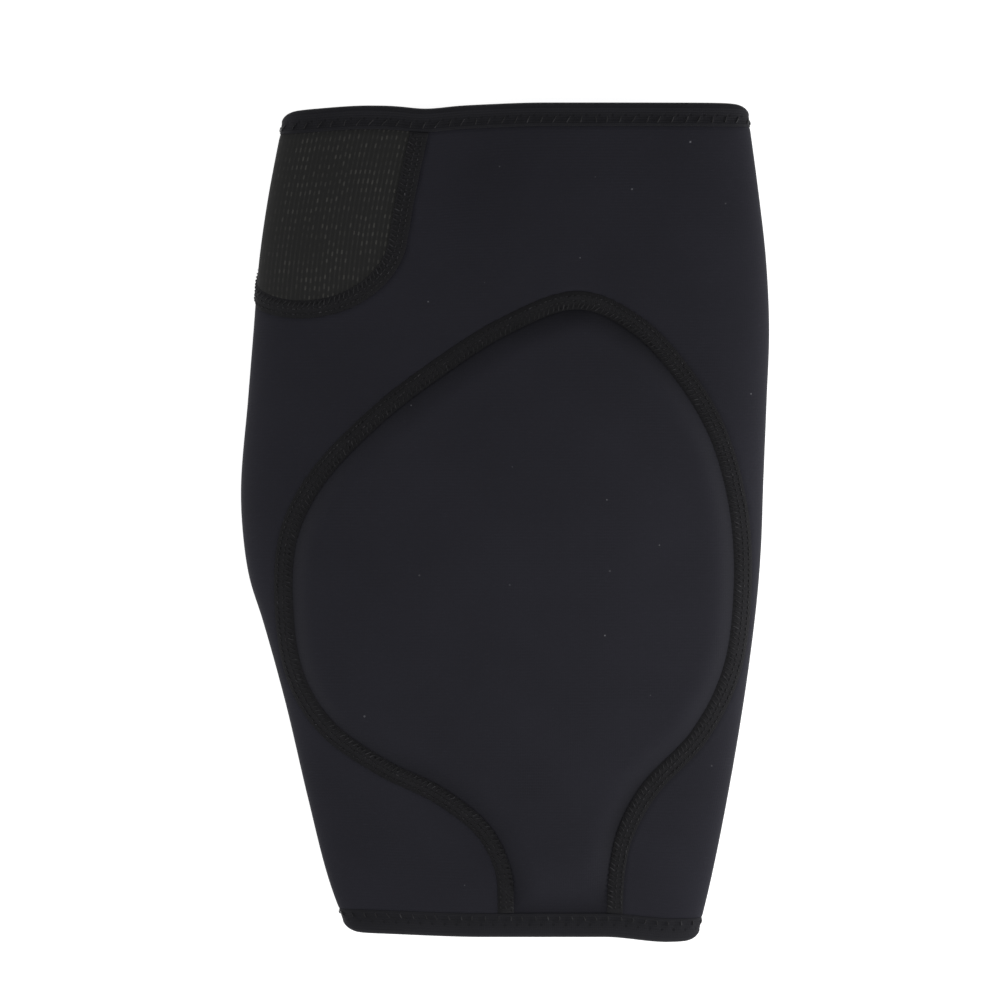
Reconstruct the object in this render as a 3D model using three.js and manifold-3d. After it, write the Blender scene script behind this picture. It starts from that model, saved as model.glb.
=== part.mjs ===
// A padded neoprene knee sleeve for wrestling, lying on its back with the pad up.
// Sizes are in millimetres. +X is to the right seen from above, +Y runs up the leg to the
// thigh opening and +Z points up. The origin is on the floor, under the middle of the outline.

import * as THREE from "three";
import { mergeVertices } from "three/addons/utils/BufferGeometryUtils.js";
import Module from "manifold-3d";

const wasm = await Module();
wasm.setup();

// Cloth and clearances
const HALF_LENGTH = 150;
const WALL = 3;
const GAP = 0.3;

// Bindings folded over both ends, and the wall squeezed between their two layers
const HEM_WIDTH = 8.6;
const HEM_LINE = HALF_LENGTH - HEM_WIDTH;
const TAPE = 1;
const TAPE_PROUD = 0.3;
const SQUEEZED_WALL = 1.8;
const SQUEEZE_DEPTH = TAPE - TAPE_PROUD + GAP;
const HEM_INNER_DEPTH = SQUEEZE_DEPTH + SQUEEZED_WALL + GAP + TAPE;
const HEM_RADIUS = (HEM_INNER_DEPTH + TAPE_PROUD) / 2;
const HEM_CORNER = 3;
const HEM_CORNER_SHARE = 0.05;

// Flat-lock seam bands, sunk into the cloth
const SEAM_WIDTH = 6.8;
const SEAM_PROUD = 0.45;
const SEAM_SINK = 0.6;
const SEAM_END = HEM_LINE - GAP;

// Foam behind the front panel: a steep shoulder along the seam and a low crown inside it
const PAD_SHOULDER = 5.5;
const PAD_SHOULDER_RUN = 11;
const PAD_CROWN = 4.5;
const PAD_CROWN_RUN = 60;
const PAD_TAPER_RUN = 34;

// Section of the lying sleeve: flat back, round folds and a nearly flat front
const WAIST_SHARE = 0.4;
const SHOULDER_POWER = 3.5;
const BACK_CORNER_SHARE = 1.15;

// Hang of the two ends: the thigh edge droops to the left in two slopes and dips beside the
// patch, and the calf edge climbs to the left in two slopes
const EDGE_RUN = 90;
const TOP_DROOPS = [
  { depth: 1.05, from: 14, to: -24 },
  { depth: 1.5, from: -50, to: -80 },
];
const TOP_DIP = { depth: 1.1, x: -29, run: 9 };
const BOTTOM_CLIMBS = [
  { depth: 1.9, from: 60, to: 36 },
  { depth: 1.3, from: -8, to: -56 },
];
const THIGH_DENT = { depth: 1.6, x: -16, xRun: 20, y: 132, yRun: 34 };

// Outline and height of the sleeve at stations up the leg
const SECTIONS = [
  { y: -150, left: -55, right: 68.4, height: 17 },
  { y: -128, left: -63.1, right: 73.7, height: 18.5 },
  { y: -99, left: -70.5, right: 79.5, height: 21.5 },
  { y: -64, left: -78.7, right: 85.4, height: 25 },
  { y: -35, left: -86.7, right: 89.3, height: 26.5 },
  { y: -20, left: -91.4, right: 90.8, height: 27 },
  { y: -6, left: -93.6, right: 91.7, height: 27 },
  { y: 12, left: -94.5, right: 92.3, height: 27 },
  { y: 44, left: -92, right: 93.6, height: 26 },
  { y: 69, left: -90, right: 94.5, height: 25 },
  { y: 94, left: -88, right: 93.4, height: 24 },
  { y: 116, left: -84.9, right: 91, height: 22.5 },
  { y: 150, left: -78.4, right: 86.5, height: 19.5 },
];

// Middle of the seam round the pad, seen from above, from the calf hem up and over and back
const PAD_SEAM = [
  { x: 0.4, y: -SEAM_END },
  { x: -0.6, y: -126 },
  { x: -8.2, y: -110.7 },
  { x: -24.1, y: -97.9 },
  { x: -43.8, y: -88 },
  { x: -63.5, y: -73.5 },
  { x: -75, y: -54.3 },
  { x: -78.9, y: -29.5 },
  { x: -77.2, y: -4.6 },
  { x: -66.8, y: 16.2 },
  { x: -47.3, y: 36.8 },
  { x: -25.9, y: 53.6 },
  { x: -0.5, y: 69.8 },
  { x: 25.3, y: 79.2 },
  { x: 46.5, y: 70.6 },
  { x: 63, y: 53.4 },
  { x: 76, y: 31.4 },
  { x: 83.3, y: 4.3 },
  { x: 84.7, y: -24.1 },
  { x: 81, y: -52.4 },
  { x: 69.5, y: -75.7 },
  { x: 52.4, y: -94.2 },
  { x: 43.2, y: -111 },
  { x: 39.8, y: -126 },
  { x: 39, y: -SEAM_END },
];

// Seam round the patch, in lengths round the leg from the left fold: a U hanging from the thigh hem
const PATCH = { left: -8, right: 55.5, bottom: 76.2, arcHeight: 25 };

// Fineness of the facets
const FRONT_STEPS = 24;
const BACK_STEPS = 16;
const PAD_SEAM_STEPS = 56;
const PAD_COLUMNS = 14;
const PATCH_SEAM_STEPS = 28;
const PATCH_COLUMNS = 10;
const NOSE_STEPS = 4;
const FOLD_STEP = 0.02;
const OUTER_STATIONS = [
  -139, -128, -113, -99, -82, -64, -49, -35, -20, -6, 12, 28, 44, 69, 94, 116, 130, 139,
];
const INNER_STATIONS = [139, 116, 94, 69, 44, 12, -20, -49, -82, -113, -139];

const { clamp, lerp, smoothstep } = THREE.MathUtils;

// Smooth run of one column of the sections table up the leg
function column(name) {
  const stations = SECTIONS.map((row) => row.y);
  const values = SECTIONS.map((row) => row[name]);
  const spline = new THREE.CubicInterpolant(stations, values, 1);
  return (y) => spline.evaluate(y)[0];
}

const leftOf = column("left");
const rightOf = column("right");
const heightOf = column("height");
const middleOf = (y) => (leftOf(y) + rightOf(y)) / 2;
const halfWidthOf = (y) => (rightOf(y) - leftOf(y)) / 2;

function bump(distance, run) {
  return Math.exp(-((distance / run) ** 2));
}

// How far an edge has sunk at x over slopes that each run from one x to another
function sunkOver(slopes, x) {
  return slopes.reduce((sum, { depth, from, to }) => sum + depth * (1 - smoothstep(x, to, from)), 0);
}

// Station of the cloth of nominal station y once both ends hang as they lie
function lyingStation(side, y) {
  const x = middleOf(y) + halfWidthOf(y) * side;
  const topShare = smoothstep(y, HALF_LENGTH - EDGE_RUN, HEM_LINE);
  const bottomShare = smoothstep(-y, HALF_LENGTH - EDGE_RUN, HEM_LINE);
  const droop = sunkOver(TOP_DROOPS, x) + TOP_DIP.depth * bump(x - TOP_DIP.x, TOP_DIP.run);
  const climb = sunkOver(BOTTOM_CLIMBS, x);
  const intoHem = Math.max(Math.abs(y) - HEM_LINE, 0) / HEM_WIDTH;
  const turn = clamp((Math.abs(side) - 1 + HEM_CORNER_SHARE) / HEM_CORNER_SHARE, 0, 1);
  const corner = HEM_CORNER * intoHem * (1 - Math.sqrt(1 - turn * turn));
  return y - droop * topShare + climb * bottomShare - Math.sign(y) * corner;
}

// Point of the sleeve at nominal station y. side runs from -1 at the left fold to 1 at the right
// one, over the front or under the back, and depth is how far it lies inside the outer face.
function sleevePoint(side, y, depth, onFront) {
  const station = lyingStation(side, y);
  const half = halfWidthOf(station);
  const tall = heightOf(station);
  const waist = WAIST_SHARE * tall;
  const x = middleOf(station) + (half - depth) * side;
  const reach = Math.abs(side);
  let z;
  if (onFront) {
    const dentShare = bump(x - THIGH_DENT.x, THIGH_DENT.xRun) * bump(y - THIGH_DENT.y, THIGH_DENT.yRun);
    const rise = (1 - reach ** SHOULDER_POWER) ** (1 / SHOULDER_POWER);
    z = waist + (tall - depth - waist - THIGH_DENT.depth * dentShare) * rise;
  } else {
    const corner = BACK_CORNER_SHARE * waist;
    const turn = Math.max(0, (reach - 1) * half + corner) / corner;
    z = waist - (waist - depth) * Math.sqrt(Math.max(0, 1 - turn * turn));
  }
  return new THREE.Vector3(x, station, z);
}

// A point of what lies on the floor, pressed up where it would sink into it
function onFloor(point) {
  return point.setZ(Math.max(point.z, 0));
}

// Point over the front, placed as it shows from above
function frontPoint(x, y, depth) {
  const side = clamp((x - middleOf(y)) / halfWidthOf(y), -1, 1);
  return sleevePoint(side, y, depth, true);
}

// Point at a length round the leg from the left fold, over the front where the length is positive
function foldPoint(length, y, depth) {
  const onFront = length >= 0;
  let walked = 0;
  let angle = 0;
  let last = sleevePoint(-1, y, 0, onFront);
  while (walked < Math.abs(length)) {
    angle += FOLD_STEP;
    const next = sleevePoint(-Math.cos(angle), y, 0, onFront);
    const step = next.distanceTo(last);
    const spare = Math.abs(length) - walked;
    if (step > spare) angle -= FOLD_STEP * (1 - spare / step);
    walked += step;
    last = next;
  }
  return sleevePoint(-Math.cos(angle), y, depth, onFront);
}

function foldPointOnFloor(length, y, depth) {
  return onFloor(foldPoint(length, y, depth));
}

// Unit normal of the front's outer face
function frontNormal(x, y) {
  const reach = 0.5;
  const across = frontPoint(x + reach, y, 0).sub(frontPoint(x - reach, y, 0));
  const along = frontPoint(x, y + reach, 0).sub(frontPoint(x, y - reach, 0));
  return across.cross(along).normalize();
}

// One closed loop round the leg, over the front from left to right and back under it
function legLoop(y, depth) {
  const loop = [];
  for (let i = 0; i < FRONT_STEPS; i++) {
    loop.push(sleevePoint(-Math.cos((Math.PI * i) / FRONT_STEPS), y, depth, true));
  }
  for (let i = 0; i <= BACK_STEPS; i++) {
    loop.push(onFloor(sleevePoint(Math.cos((Math.PI * i) / BACK_STEPS), y, depth, false)));
  }
  return loop;
}

// Triangles over a grid of points, each cell split along its shorter diagonal. Cells that
// narrow to a point give one triangle.
function sheet(rows) {
  const corners = [];
  const addTriangle = (a, b, c) => {
    const isFlat = a.distanceTo(b) * b.distanceTo(c) * c.distanceTo(a) === 0;
    if (!isFlat) corners.push(a, b, c);
  };
  for (let r = 1; r < rows.length; r++) {
    for (let i = 1; i < rows[r].length; i++) {
      const [a, b] = [rows[r - 1][i - 1], rows[r - 1][i]];
      const [c, d] = [rows[r][i - 1], rows[r][i]];
      if (a.distanceTo(d) < b.distanceTo(c)) {
        addTriangle(a, b, d);
        addTriangle(a, d, c);
      } else {
        addTriangle(a, b, c);
        addTriangle(b, d, c);
      }
    }
  }
  return corners;
}

// Triangles that close a small convex loop
function fan(loop) {
  const corners = [];
  for (let i = 2; i < loop.length - 1; i++) corners.push(loop[0], loop[i - 1], loop[i]);
  return corners;
}

function skin(corners) {
  const geometry = new THREE.BufferGeometry().setFromPoints(corners);
  return mergeVertices(geometry, 1e-5);
}

// Skin over loops that return to the first one, as the faces of a tube's wall do
function ringSkin(loops) {
  return skin(sheet([...loops, loops[0]]));
}

// Boolean solid of a closed geometry, and back
function solidOf(geometry) {
  return new wasm.Manifold(
    new wasm.Mesh({
      numProp: 3,
      vertProperties: new Float32Array(geometry.getAttribute("position").array),
      triVerts: new Uint32Array(geometry.index.array),
    }),
  );
}

function geometryOf(solid) {
  const mesh = solid.getMesh();
  const geometry = new THREE.BufferGeometry();
  geometry.setAttribute("position", new THREE.BufferAttribute(mesh.vertProperties, 3));
  geometry.setIndex(new THREE.BufferAttribute(mesh.triVerts, 1));
  return geometry;
}

function cut(solid, ...tools) {
  return tools.reduce((rest, tool) => rest.subtract(tool), solid);
}

// Unit normals to a flat path, to the left of its run
function pathNormals(path) {
  return path.map((point, i) => {
    const before = path[Math.max(i - 1, 0)];
    const after = path[Math.min(i + 1, path.length - 1)];
    const run = new THREE.Vector2().subVectors(after, before).normalize();
    return new THREE.Vector2(-run.y, run.x);
  });
}

function movedSideways(path, distance) {
  const normals = pathNormals(path);
  return path.map((point, i) => point.clone().addScaledVector(normals[i], distance));
}

// Band along a seam: each corner of its profile is a distance across the seam and a depth
function seamBand(path, profile, place) {
  const normals = pathNormals(path);
  const loops = path.map((point, i) =>
    [...profile, profile[0]].map(({ across, depth }) => {
      const at = point.clone().addScaledVector(normals[i], across);
      return place(at.x, at.y, depth);
    }),
  );
  return skin([...fan(loops[0].toReversed()), ...sheet(loops), ...fan(loops.at(-1))]);
}

function bandProfile() {
  const half = SEAM_WIDTH / 2;
  return [
    { across: half, depth: SEAM_SINK },
    { across: half, depth: -SEAM_PROUD / 4 },
    { across: half / 2, depth: -SEAM_PROUD },
    { across: -half / 2, depth: -SEAM_PROUD },
    { across: -half, depth: -SEAM_PROUD / 4 },
    { across: -half, depth: SEAM_SINK },
  ];
}

function grooveProfile() {
  const half = SEAM_WIDTH / 2 + GAP;
  const above = 3;
  return [
    { across: half, depth: SEAM_SINK + GAP },
    { across: half, depth: -above },
    { across: -half, depth: -above },
    { across: -half, depth: SEAM_SINK + GAP },
  ];
}

// Grid of points over a panel: rows run across it from one side of its seam to the other,
// from the hem to the tip, and are closest together along the seam
function panelGrid(outline, columns, place) {
  const last = outline.length - 1;
  return outline.slice(0, last / 2 + 1).map((start, i) => {
    const end = outline[last - i];
    return Array.from({ length: columns + 1 }, (_, column) => {
      const share = (1 - Math.cos((Math.PI * column) / columns)) / 2;
      return place(lerp(start.x, end.x, share), lerp(start.y, end.y, share));
    });
  });
}

// Edge of a panel's grid: along the hem, up one side to the tip and down the other
function panelRim(grid) {
  const sides = grid.slice(1);
  const up = sides.map((row) => row.at(-1));
  const down = sides.slice(0, -1).map((row) => row[0]);
  return [...grid[0], ...up, ...down.reverse(), grid[0][0]];
}

// Skin of a panel from grids that lie over one another, the outer face first
function panelSkin(grids) {
  const inner = grids.at(-1).map((row) => row.toReversed());
  const edge = grids.map(panelRim).reverse();
  return skin([...sheet(grids[0]), ...sheet(inner), ...sheet(edge)]);
}

// Seam of the pad: a path from the calf hem round the knee and back
function padSeamPath() {
  const spline = new THREE.SplineCurve(PAD_SEAM.map(({ x, y }) => new THREE.Vector2(x, y)));
  return spline.getSpacedPoints(PAD_SEAM_STEPS);
}

// Seam of the patch: a path from the thigh hem down, round and back up
function patchSeamPath() {
  const halfWidth = (PATCH.right - PATCH.left) / 2;
  const arcLevel = PATCH.bottom + PATCH.arcHeight;
  const path = new THREE.Path();
  path.moveTo(PATCH.right, SEAM_END);
  path.lineTo(PATCH.right, arcLevel);
  path.absellipse(PATCH.left + halfWidth, arcLevel, halfWidth, PATCH.arcHeight, 0, -Math.PI, true);
  path.lineTo(PATCH.left, SEAM_END);
  return path.getSpacedPoints(PATCH_SEAM_STEPS);
}

// A seam's path with both ends run on towards the hem
function runOn(path, distance) {
  const first = path[0].clone();
  const last = path.at(-1).clone();
  first.y += Math.sign(first.y) * distance;
  last.y += Math.sign(last.y) * distance;
  return [first, ...path, last];
}

// Seam side of a panel's outline, drawn in from the seam's middle by inset and run on to the hem
function panelOutline(path, inset, hemShift) {
  const outline = movedSideways(path, -inset);
  for (const end of [outline[0], outline.at(-1)]) end.y += Math.sign(end.y) * hemShift;
  return outline;
}

// How far the pad stands out at (x, y), from its distance to the seam and to the calf hem
function padRise(x, y) {
  const at = new THREE.Vector3(x, y, 0);
  const nearest = new THREE.Vector3();
  const stretch = new THREE.Line3();
  let distance = Infinity;
  for (let i = 1; i < padSeam.length; i++) {
    stretch.start.set(padSeam[i - 1].x, padSeam[i - 1].y, 0);
    stretch.end.set(padSeam[i].x, padSeam[i].y, 0);
    stretch.closestPointToPoint(at, true, nearest);
    distance = Math.min(distance, nearest.distanceTo(at));
  }
  const inside = distance - SEAM_WIDTH / 2 - GAP;
  const shoulderShare = clamp(inside / PAD_SHOULDER_RUN, 0, 1);
  const shoulder = PAD_SHOULDER * (1 - (1 - shoulderShare) ** 3);
  const crown = PAD_CROWN * smoothstep(inside, 0, PAD_CROWN_RUN);
  const taper = smoothstep(y + HEM_LINE, 0, PAD_TAPER_RUN);
  return (shoulder + crown) * taper;
}

// Sleeve before its openings: the outer face up the leg, then the inner face down
function sleeveTube() {
  const end = HALF_LENGTH - HEM_RADIUS;
  const edge = HEM_LINE - GAP;
  const softened = edge - 0.6;
  const inner = SQUEEZE_DEPTH + SQUEEZED_WALL;
  const profile = [
    { y: -end, depth: SQUEEZE_DEPTH },
    { y: -edge, depth: SQUEEZE_DEPTH },
    { y: -softened, depth: SQUEEZE_DEPTH / 3 },
    ...OUTER_STATIONS.map((y) => ({ y, depth: 0 })),
    { y: softened, depth: SQUEEZE_DEPTH / 3 },
    { y: edge, depth: SQUEEZE_DEPTH },
    { y: end, depth: SQUEEZE_DEPTH },
    { y: end, depth: inner },
    { y: edge, depth: inner },
    ...INNER_STATIONS.map((y) => ({ y, depth: WALL })),
    { y: -edge, depth: inner },
    { y: -end, depth: inner },
  ];
  return ringSkin(profile.map(({ y, depth }) => legLoop(y, depth)));
}

// Half circle of a binding's nose, from the outer layer to the inner one
function hemNose(radius) {
  return Array.from({ length: NOSE_STEPS + 1 }, (_, i) => {
    const angle = Math.PI * (0.5 - i / NOSE_STEPS);
    return {
      run: HEM_WIDTH - HEM_RADIUS + radius * Math.cos(angle),
      depth: HEM_INNER_DEPTH - HEM_RADIUS - radius * Math.sin(angle),
    };
  });
}

// Binding folded over the thigh end (direction 1) or the calf end (direction -1)
function hemSkin(direction) {
  const profile = [
    { run: 0, depth: -TAPE_PROUD },
    ...hemNose(HEM_RADIUS),
    { run: 0, depth: HEM_INNER_DEPTH },
    { run: 0, depth: HEM_INNER_DEPTH - TAPE },
    ...hemNose(HEM_RADIUS - TAPE).reverse(),
    { run: 0, depth: TAPE - TAPE_PROUD },
  ];
  const loops = profile.map(({ run, depth }) => legLoop(direction * (HEM_LINE + run), depth));
  return ringSkin(direction > 0 ? loops : loops.reverse());
}

const padSeam = padSeamPath();
const patchSeam = patchSeamPath();
const padGroove = solidOf(seamBand(runOn(padSeam, GAP), grooveProfile(), frontPoint));
const patchGroove = solidOf(seamBand(runOn(patchSeam, GAP), grooveProfile(), foldPoint));

function padPanel() {
  const outline = panelOutline(padSeam, GAP / 2, 0);
  const outer = panelGrid(outline, PAD_COLUMNS, (x, y) =>
    frontPoint(x, y, 0).addScaledVector(frontNormal(x, y), padRise(x, y)),
  );
  const inner = panelGrid(outline, PAD_COLUMNS, (x, y) => frontPoint(x, y, WALL));
  return cut(solidOf(panelSkin([outer, inner])), padGroove);
}

function patchPanel() {
  const outline = panelOutline(patchSeam, GAP / 2, 0);
  const grids = [0, WALL].map((depth) => panelGrid(outline, PATCH_COLUMNS, (s, y) => foldPoint(s, y, depth)));
  return cut(solidOf(panelSkin(grids)), patchGroove);
}

// Tool that opens the wall where a panel is sewn in
function panelOpening(seam, columns, place) {
  const clear = 5;
  const outline = panelOutline(seam, -GAP / 2, GAP);
  const depths = [-clear, 0, WALL, WALL + clear];
  return solidOf(panelSkin(depths.map((depth) => panelGrid(outline, columns, (a, b) => place(a, b, depth)))));
}

function sleeve() {
  const padOpening = panelOpening(padSeam, PAD_COLUMNS, frontPoint);
  const patchOpening = panelOpening(patchSeam, PATCH_COLUMNS, foldPoint);
  return cut(solidOf(sleeveTube()), padOpening, patchOpening, padGroove, patchGroove);
}

const kneePad = new THREE.Group();

function addPiece(name, geometry, finish) {
  const mesh = new THREE.Mesh(geometry, new THREE.MeshStandardMaterial({ ...finish, metalness: 0 }));
  mesh.name = name;
  kneePad.add(mesh);
}

const patchBand = seamBand(patchSeam, bandProfile(), foldPointOnFloor);
addPiece("sleeve", geometryOf(sleeve()), { color: "#242428", roughness: 0.8 });
addPiece("knee_pad", geometryOf(padPanel()), { color: "#262629", roughness: 0.82 });
addPiece("pad_seam", seamBand(padSeam, bandProfile(), frontPoint), { color: "#1c1c1d", roughness: 0.7 });
addPiece("side_patch", geometryOf(patchPanel()), { color: "#272824", roughness: 0.75 });
addPiece("patch_seam", patchBand, { color: "#1c1c1d", roughness: 0.7 });
addPiece("top_hem", hemSkin(1), { color: "#202122", roughness: 0.72 });
addPiece("bottom_hem", hemSkin(-1), { color: "#202122", roughness: 0.72 });

export default kneePad;
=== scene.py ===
"""Cloth, padding, seams, bindings and stitches of a padded knee sleeve that lies on its back."""

import math
from collections import namedtuple

import bpy
import numpy as np
from bpy.props import FloatProperty, FloatVectorProperty, PointerProperty
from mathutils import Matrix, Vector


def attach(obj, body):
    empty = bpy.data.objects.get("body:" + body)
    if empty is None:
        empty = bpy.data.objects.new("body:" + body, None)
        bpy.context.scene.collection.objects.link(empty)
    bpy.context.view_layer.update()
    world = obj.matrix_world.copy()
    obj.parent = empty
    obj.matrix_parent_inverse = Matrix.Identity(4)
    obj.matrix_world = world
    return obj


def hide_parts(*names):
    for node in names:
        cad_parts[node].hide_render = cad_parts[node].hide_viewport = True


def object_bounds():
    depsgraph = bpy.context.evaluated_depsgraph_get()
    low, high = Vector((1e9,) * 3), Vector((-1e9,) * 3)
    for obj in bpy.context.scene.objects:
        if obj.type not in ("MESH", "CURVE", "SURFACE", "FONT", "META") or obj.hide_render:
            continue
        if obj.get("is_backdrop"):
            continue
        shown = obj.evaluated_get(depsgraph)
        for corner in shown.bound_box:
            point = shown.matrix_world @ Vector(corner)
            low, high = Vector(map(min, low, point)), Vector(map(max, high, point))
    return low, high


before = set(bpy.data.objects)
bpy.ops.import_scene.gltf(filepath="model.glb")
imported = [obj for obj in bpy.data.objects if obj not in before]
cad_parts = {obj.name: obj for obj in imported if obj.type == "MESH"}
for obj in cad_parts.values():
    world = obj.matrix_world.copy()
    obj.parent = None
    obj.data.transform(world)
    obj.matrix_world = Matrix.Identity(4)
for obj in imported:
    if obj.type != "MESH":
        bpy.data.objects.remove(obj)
CAD_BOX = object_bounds()

bl_info = {
    "name": "Padded Knee Sleeve",
    "version": (1, 0, 0),
    "blender": (4, 5, 0),
    "location": "View3D > Sidebar > Knee Sleeve",
    "description": "Builds the cloth, padding, seams, bindings and stitches of a padded knee sleeve",
    "category": "Add Mesh",
}

MM = 0.001

# What pieces and materials share
BODY = "root"
CLOTH_MAP = "cloth"
SEAM_SHADE_VALUES = "painted_seam_shade"
BLACK = (0, 0, 0, 1)
WHITE = (1, 1, 1, 1)

# Shape of the lying sleeve, in millimetres. The leg runs along y, with the thigh end up.
Section = namedtuple("Section", "y left right height")
SECTIONS = (
    Section(-150, -55, 68.4, 17),
    Section(-128, -63.1, 73.7, 18.5),
    Section(-99, -70.5, 79.5, 21.5),
    Section(-64, -78.7, 85.4, 25),
    Section(-35, -86.7, 89.3, 26.5),
    Section(-20, -91.4, 90.8, 27),
    Section(-6, -93.6, 91.7, 27),
    Section(12, -94.5, 92.3, 27),
    Section(44, -92, 93.6, 26),
    Section(69, -90, 94.5, 25),
    Section(94, -88, 93.4, 24),
    Section(116, -84.9, 91, 22.5),
    Section(150, -78.4, 86.5, 19.5),
)
HALF_LENGTH = 150
GAP = 0.3

# Cross section: the folds lie at a share of the height, the front is a superellipse over them, and
# the back turns under in a corner that is a share of the folds' height
WAIST_SHARE = 0.4
SHOULDER_POWER = 3.5
BACK_CORNER_SHARE = 1.15

# Ends as they lie: slopes and a dip across the width, and a dent in the front below the thigh hem
EDGE_RUN = 90
Slope = namedtuple("Slope", "depth start end")
Dip = namedtuple("Dip", "depth x run")
Dent = namedtuple("Dent", "depth x x_run y y_run")
TOP_DROOPS = (Slope(1.05, 14, -24), Slope(1.5, -50, -80))
BOTTOM_CLIMBS = (Slope(1.9, 60, 36), Slope(1.3, -8, -56))
TOP_DIP = Dip(1.1, -29, 9)
THIGH_DENT = Dent(1.6, -16, 20, 132, 34)

# Bindings
HEM_WIDTH = 8.6
HEM_LINE = HALF_LENGTH - HEM_WIDTH
HEM_RADIUS = 2.2
HEM_INNER_DEPTH = 4.1
HEM_INNER_RUN = 3
HEM_CORNER = 2.6
HEM_CORNER_POWER = 6
TAPE = 1
TAPE_PROUD = 0.3
TAPE_RISE = 0.14
TAPE_EDGE = ((0, 0.2), (0.25, -0.02))
TAPE_RUNS = (0.7, 1.3, 1.9, 2.5, 3.1, 3.8, 4.6, 5.5)
NOSE_STEPS = 10
INNER_NOSE_STEPS = 6
FACE_CORNERS = 14
PUCKER_ROW = 2.4
PUCKER_RUN = 1.3
PUCKER_DEPTH = 0.2
PUCKER_WAVE = 0.14
SQUEEZE_DEPTH = TAPE - TAPE_PROUD + GAP
SQUEEZED_WALL = 1.8
HEM_DIP = 0.1
HEM_DIP_RUN = 1
HEM_TUCK = 1

# Seams: middle of the pad's seam from above, and the patch's in lengths round the leg
SEAM_END = HEM_LINE - GAP
SEAM_SINK = 0.6
SEAM_BED = 0.95
BED_EDGE = 1.2
BAND_GAP = 0.05
BAND_SHARES = (0, 0.25, 0.5, 0.7, 0.85, 0.965, 1)
BAND_POWER = 4
BAND_EDGE_DEPTH = 0.25
BAND_UNDER_SHARE = 0.9
NECK_START = 92
NECK_END = 122
NECK_NARROWING = 0.14
CUT_PAST = 0.2
CROSS_RIB = 0.63
# Painted shade along the outer lip of a seam band
PAINTED_LIP_SHADE = 0.24
PAD_SEAM = (
    (0.4, -SEAM_END),
    (-0.6, -126),
    (-8.2, -110.7),
    (-24.1, -97.9),
    (-43.8, -88),
    (-63.5, -73.5),
    (-75, -54.3),
    (-78.9, -29.5),
    (-77.2, -4.6),
    (-66.8, 16.2),
    (-47.3, 36.8),
    (-25.9, 53.6),
    (-0.5, 69.8),
    (25.3, 79.2),
    (46.5, 70.6),
    (63, 53.4),
    (76, 31.4),
    (83.3, 4.3),
    (84.7, -24.1),
    (81, -52.4),
    (69.5, -75.7),
    (52.4, -94.2),
    (43.2, -111),
    (39.8, -126),
    (39, -SEAM_END),
)
Patch = namedtuple("Patch", "left right bottom arc_height")
PATCH = Patch(-8, 55.5, 76.2, 25)

# Pad: its rise from the seam, the cloth that swells it, and painted shade that darkens its face next to its
# seam and its calf end, more at a few spots
PAD_SHOULDER_RUN = 11
PAD_SHOULDER_POWER = 3
PAD_CROWN_RUN = 60
PAD_TAPER_RUN = 20
PAD_HOLD = 6
HELD_EDGE = 1.2
HELD_NECK = 6
SWELL_FRAMES = 20
SWELL_EVENING = 60
SWELL_CLOTH = {
    "quality": 6,
    "mass": 0.3,
    "tension_stiffness": 20,
    "compression_stiffness": 20,
    "shear_stiffness": 8,
    "bending_stiffness": 4,
    "use_pressure": True,
    "uniform_pressure_force": 4,
}
# Painted shade: how far and how strongly the pad's jersey is darkened next to its seam and its calf end,
# and two spots where it is darker still
SEAM_SHADE_RUN = 9
SEAM_SHADE_POWER = 1.5
SEAM_SHADE_STRENGTH = 0.32
HEM_SHADE_RUN = 8
ShadeSpot = namedtuple("ShadeSpot", "x y run extra")
DARKER_SHADE_SPOTS = (ShadeSpot(52, 70, 24, 1.2), ShadeSpot(46, -106, 20, 1.2))

# Threads: lengths in millimetres, but starts, ends and slips along a row in shares of a stitch. A
# thread's outward side is found from points over and under it.
NEEDLE_ROWS = (-2, -0.2, 1.7)
Leg = namedtuple("Leg", "row start start_across end end_across")
SEAM_LEGS = (
    Leg(0, -0.25, -0.8, 0.25, 1),
    Leg(1, -0.26, 0, 0.24, 0.1),
    Leg(2, -0.22, 0, 0.26, 0.1),
)
SEAM_SLIP = 0.07
SEAM_THREAD_DEPTH = -0.42
SEAM_PROBE = 1
HemStitch = namedtuple("HemStitch", "low high lean")
THIGH_STITCH = HemStitch(1.4, 3.6, 1.1)
CALF_STITCH = HemStitch(1.1, 2.6, 0.2)
HEM_SLIP = 0.06
HEM_THREAD_DEPTH = -0.2
HEM_PROBE_OVER = 0.5
HEM_PROBE_UNDER = 1
HEM_HOLE_ROW = 4.2
ARCH_SHARE = 0.8
STITCH_TREE = "Sewn Stitches"
SEWING_SEED = 7

# Fineness of the meshes
FRONT_STEP = 1.5
BACK_STEP = 2.4
ROW_STEP = 1.5
SIDE_STEPS = 2000
FOLD_STEPS = 220
FOLD_TURN = 1.7
SPLINE_STEPS = 40
BOW_STEPS = 120
PAD_ROWS = 120
PAD_COLUMNS = 64
PATCH_ROWS = 50
PATCH_COLUMNS = 44
EVEN_SHARE = 0.3
SEAM_STEP = 1.0
HEM_STEP = 1.2
THREAD_STEP = 0.8
THREAD_SIDES = 5
ARCH_STEPS = 4

# Sheen that all the cloth shares
SHEEN_ROUGHNESS = 0.45
SHEEN_TINT = (0.8, 0.82, 0.9, 1)

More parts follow.
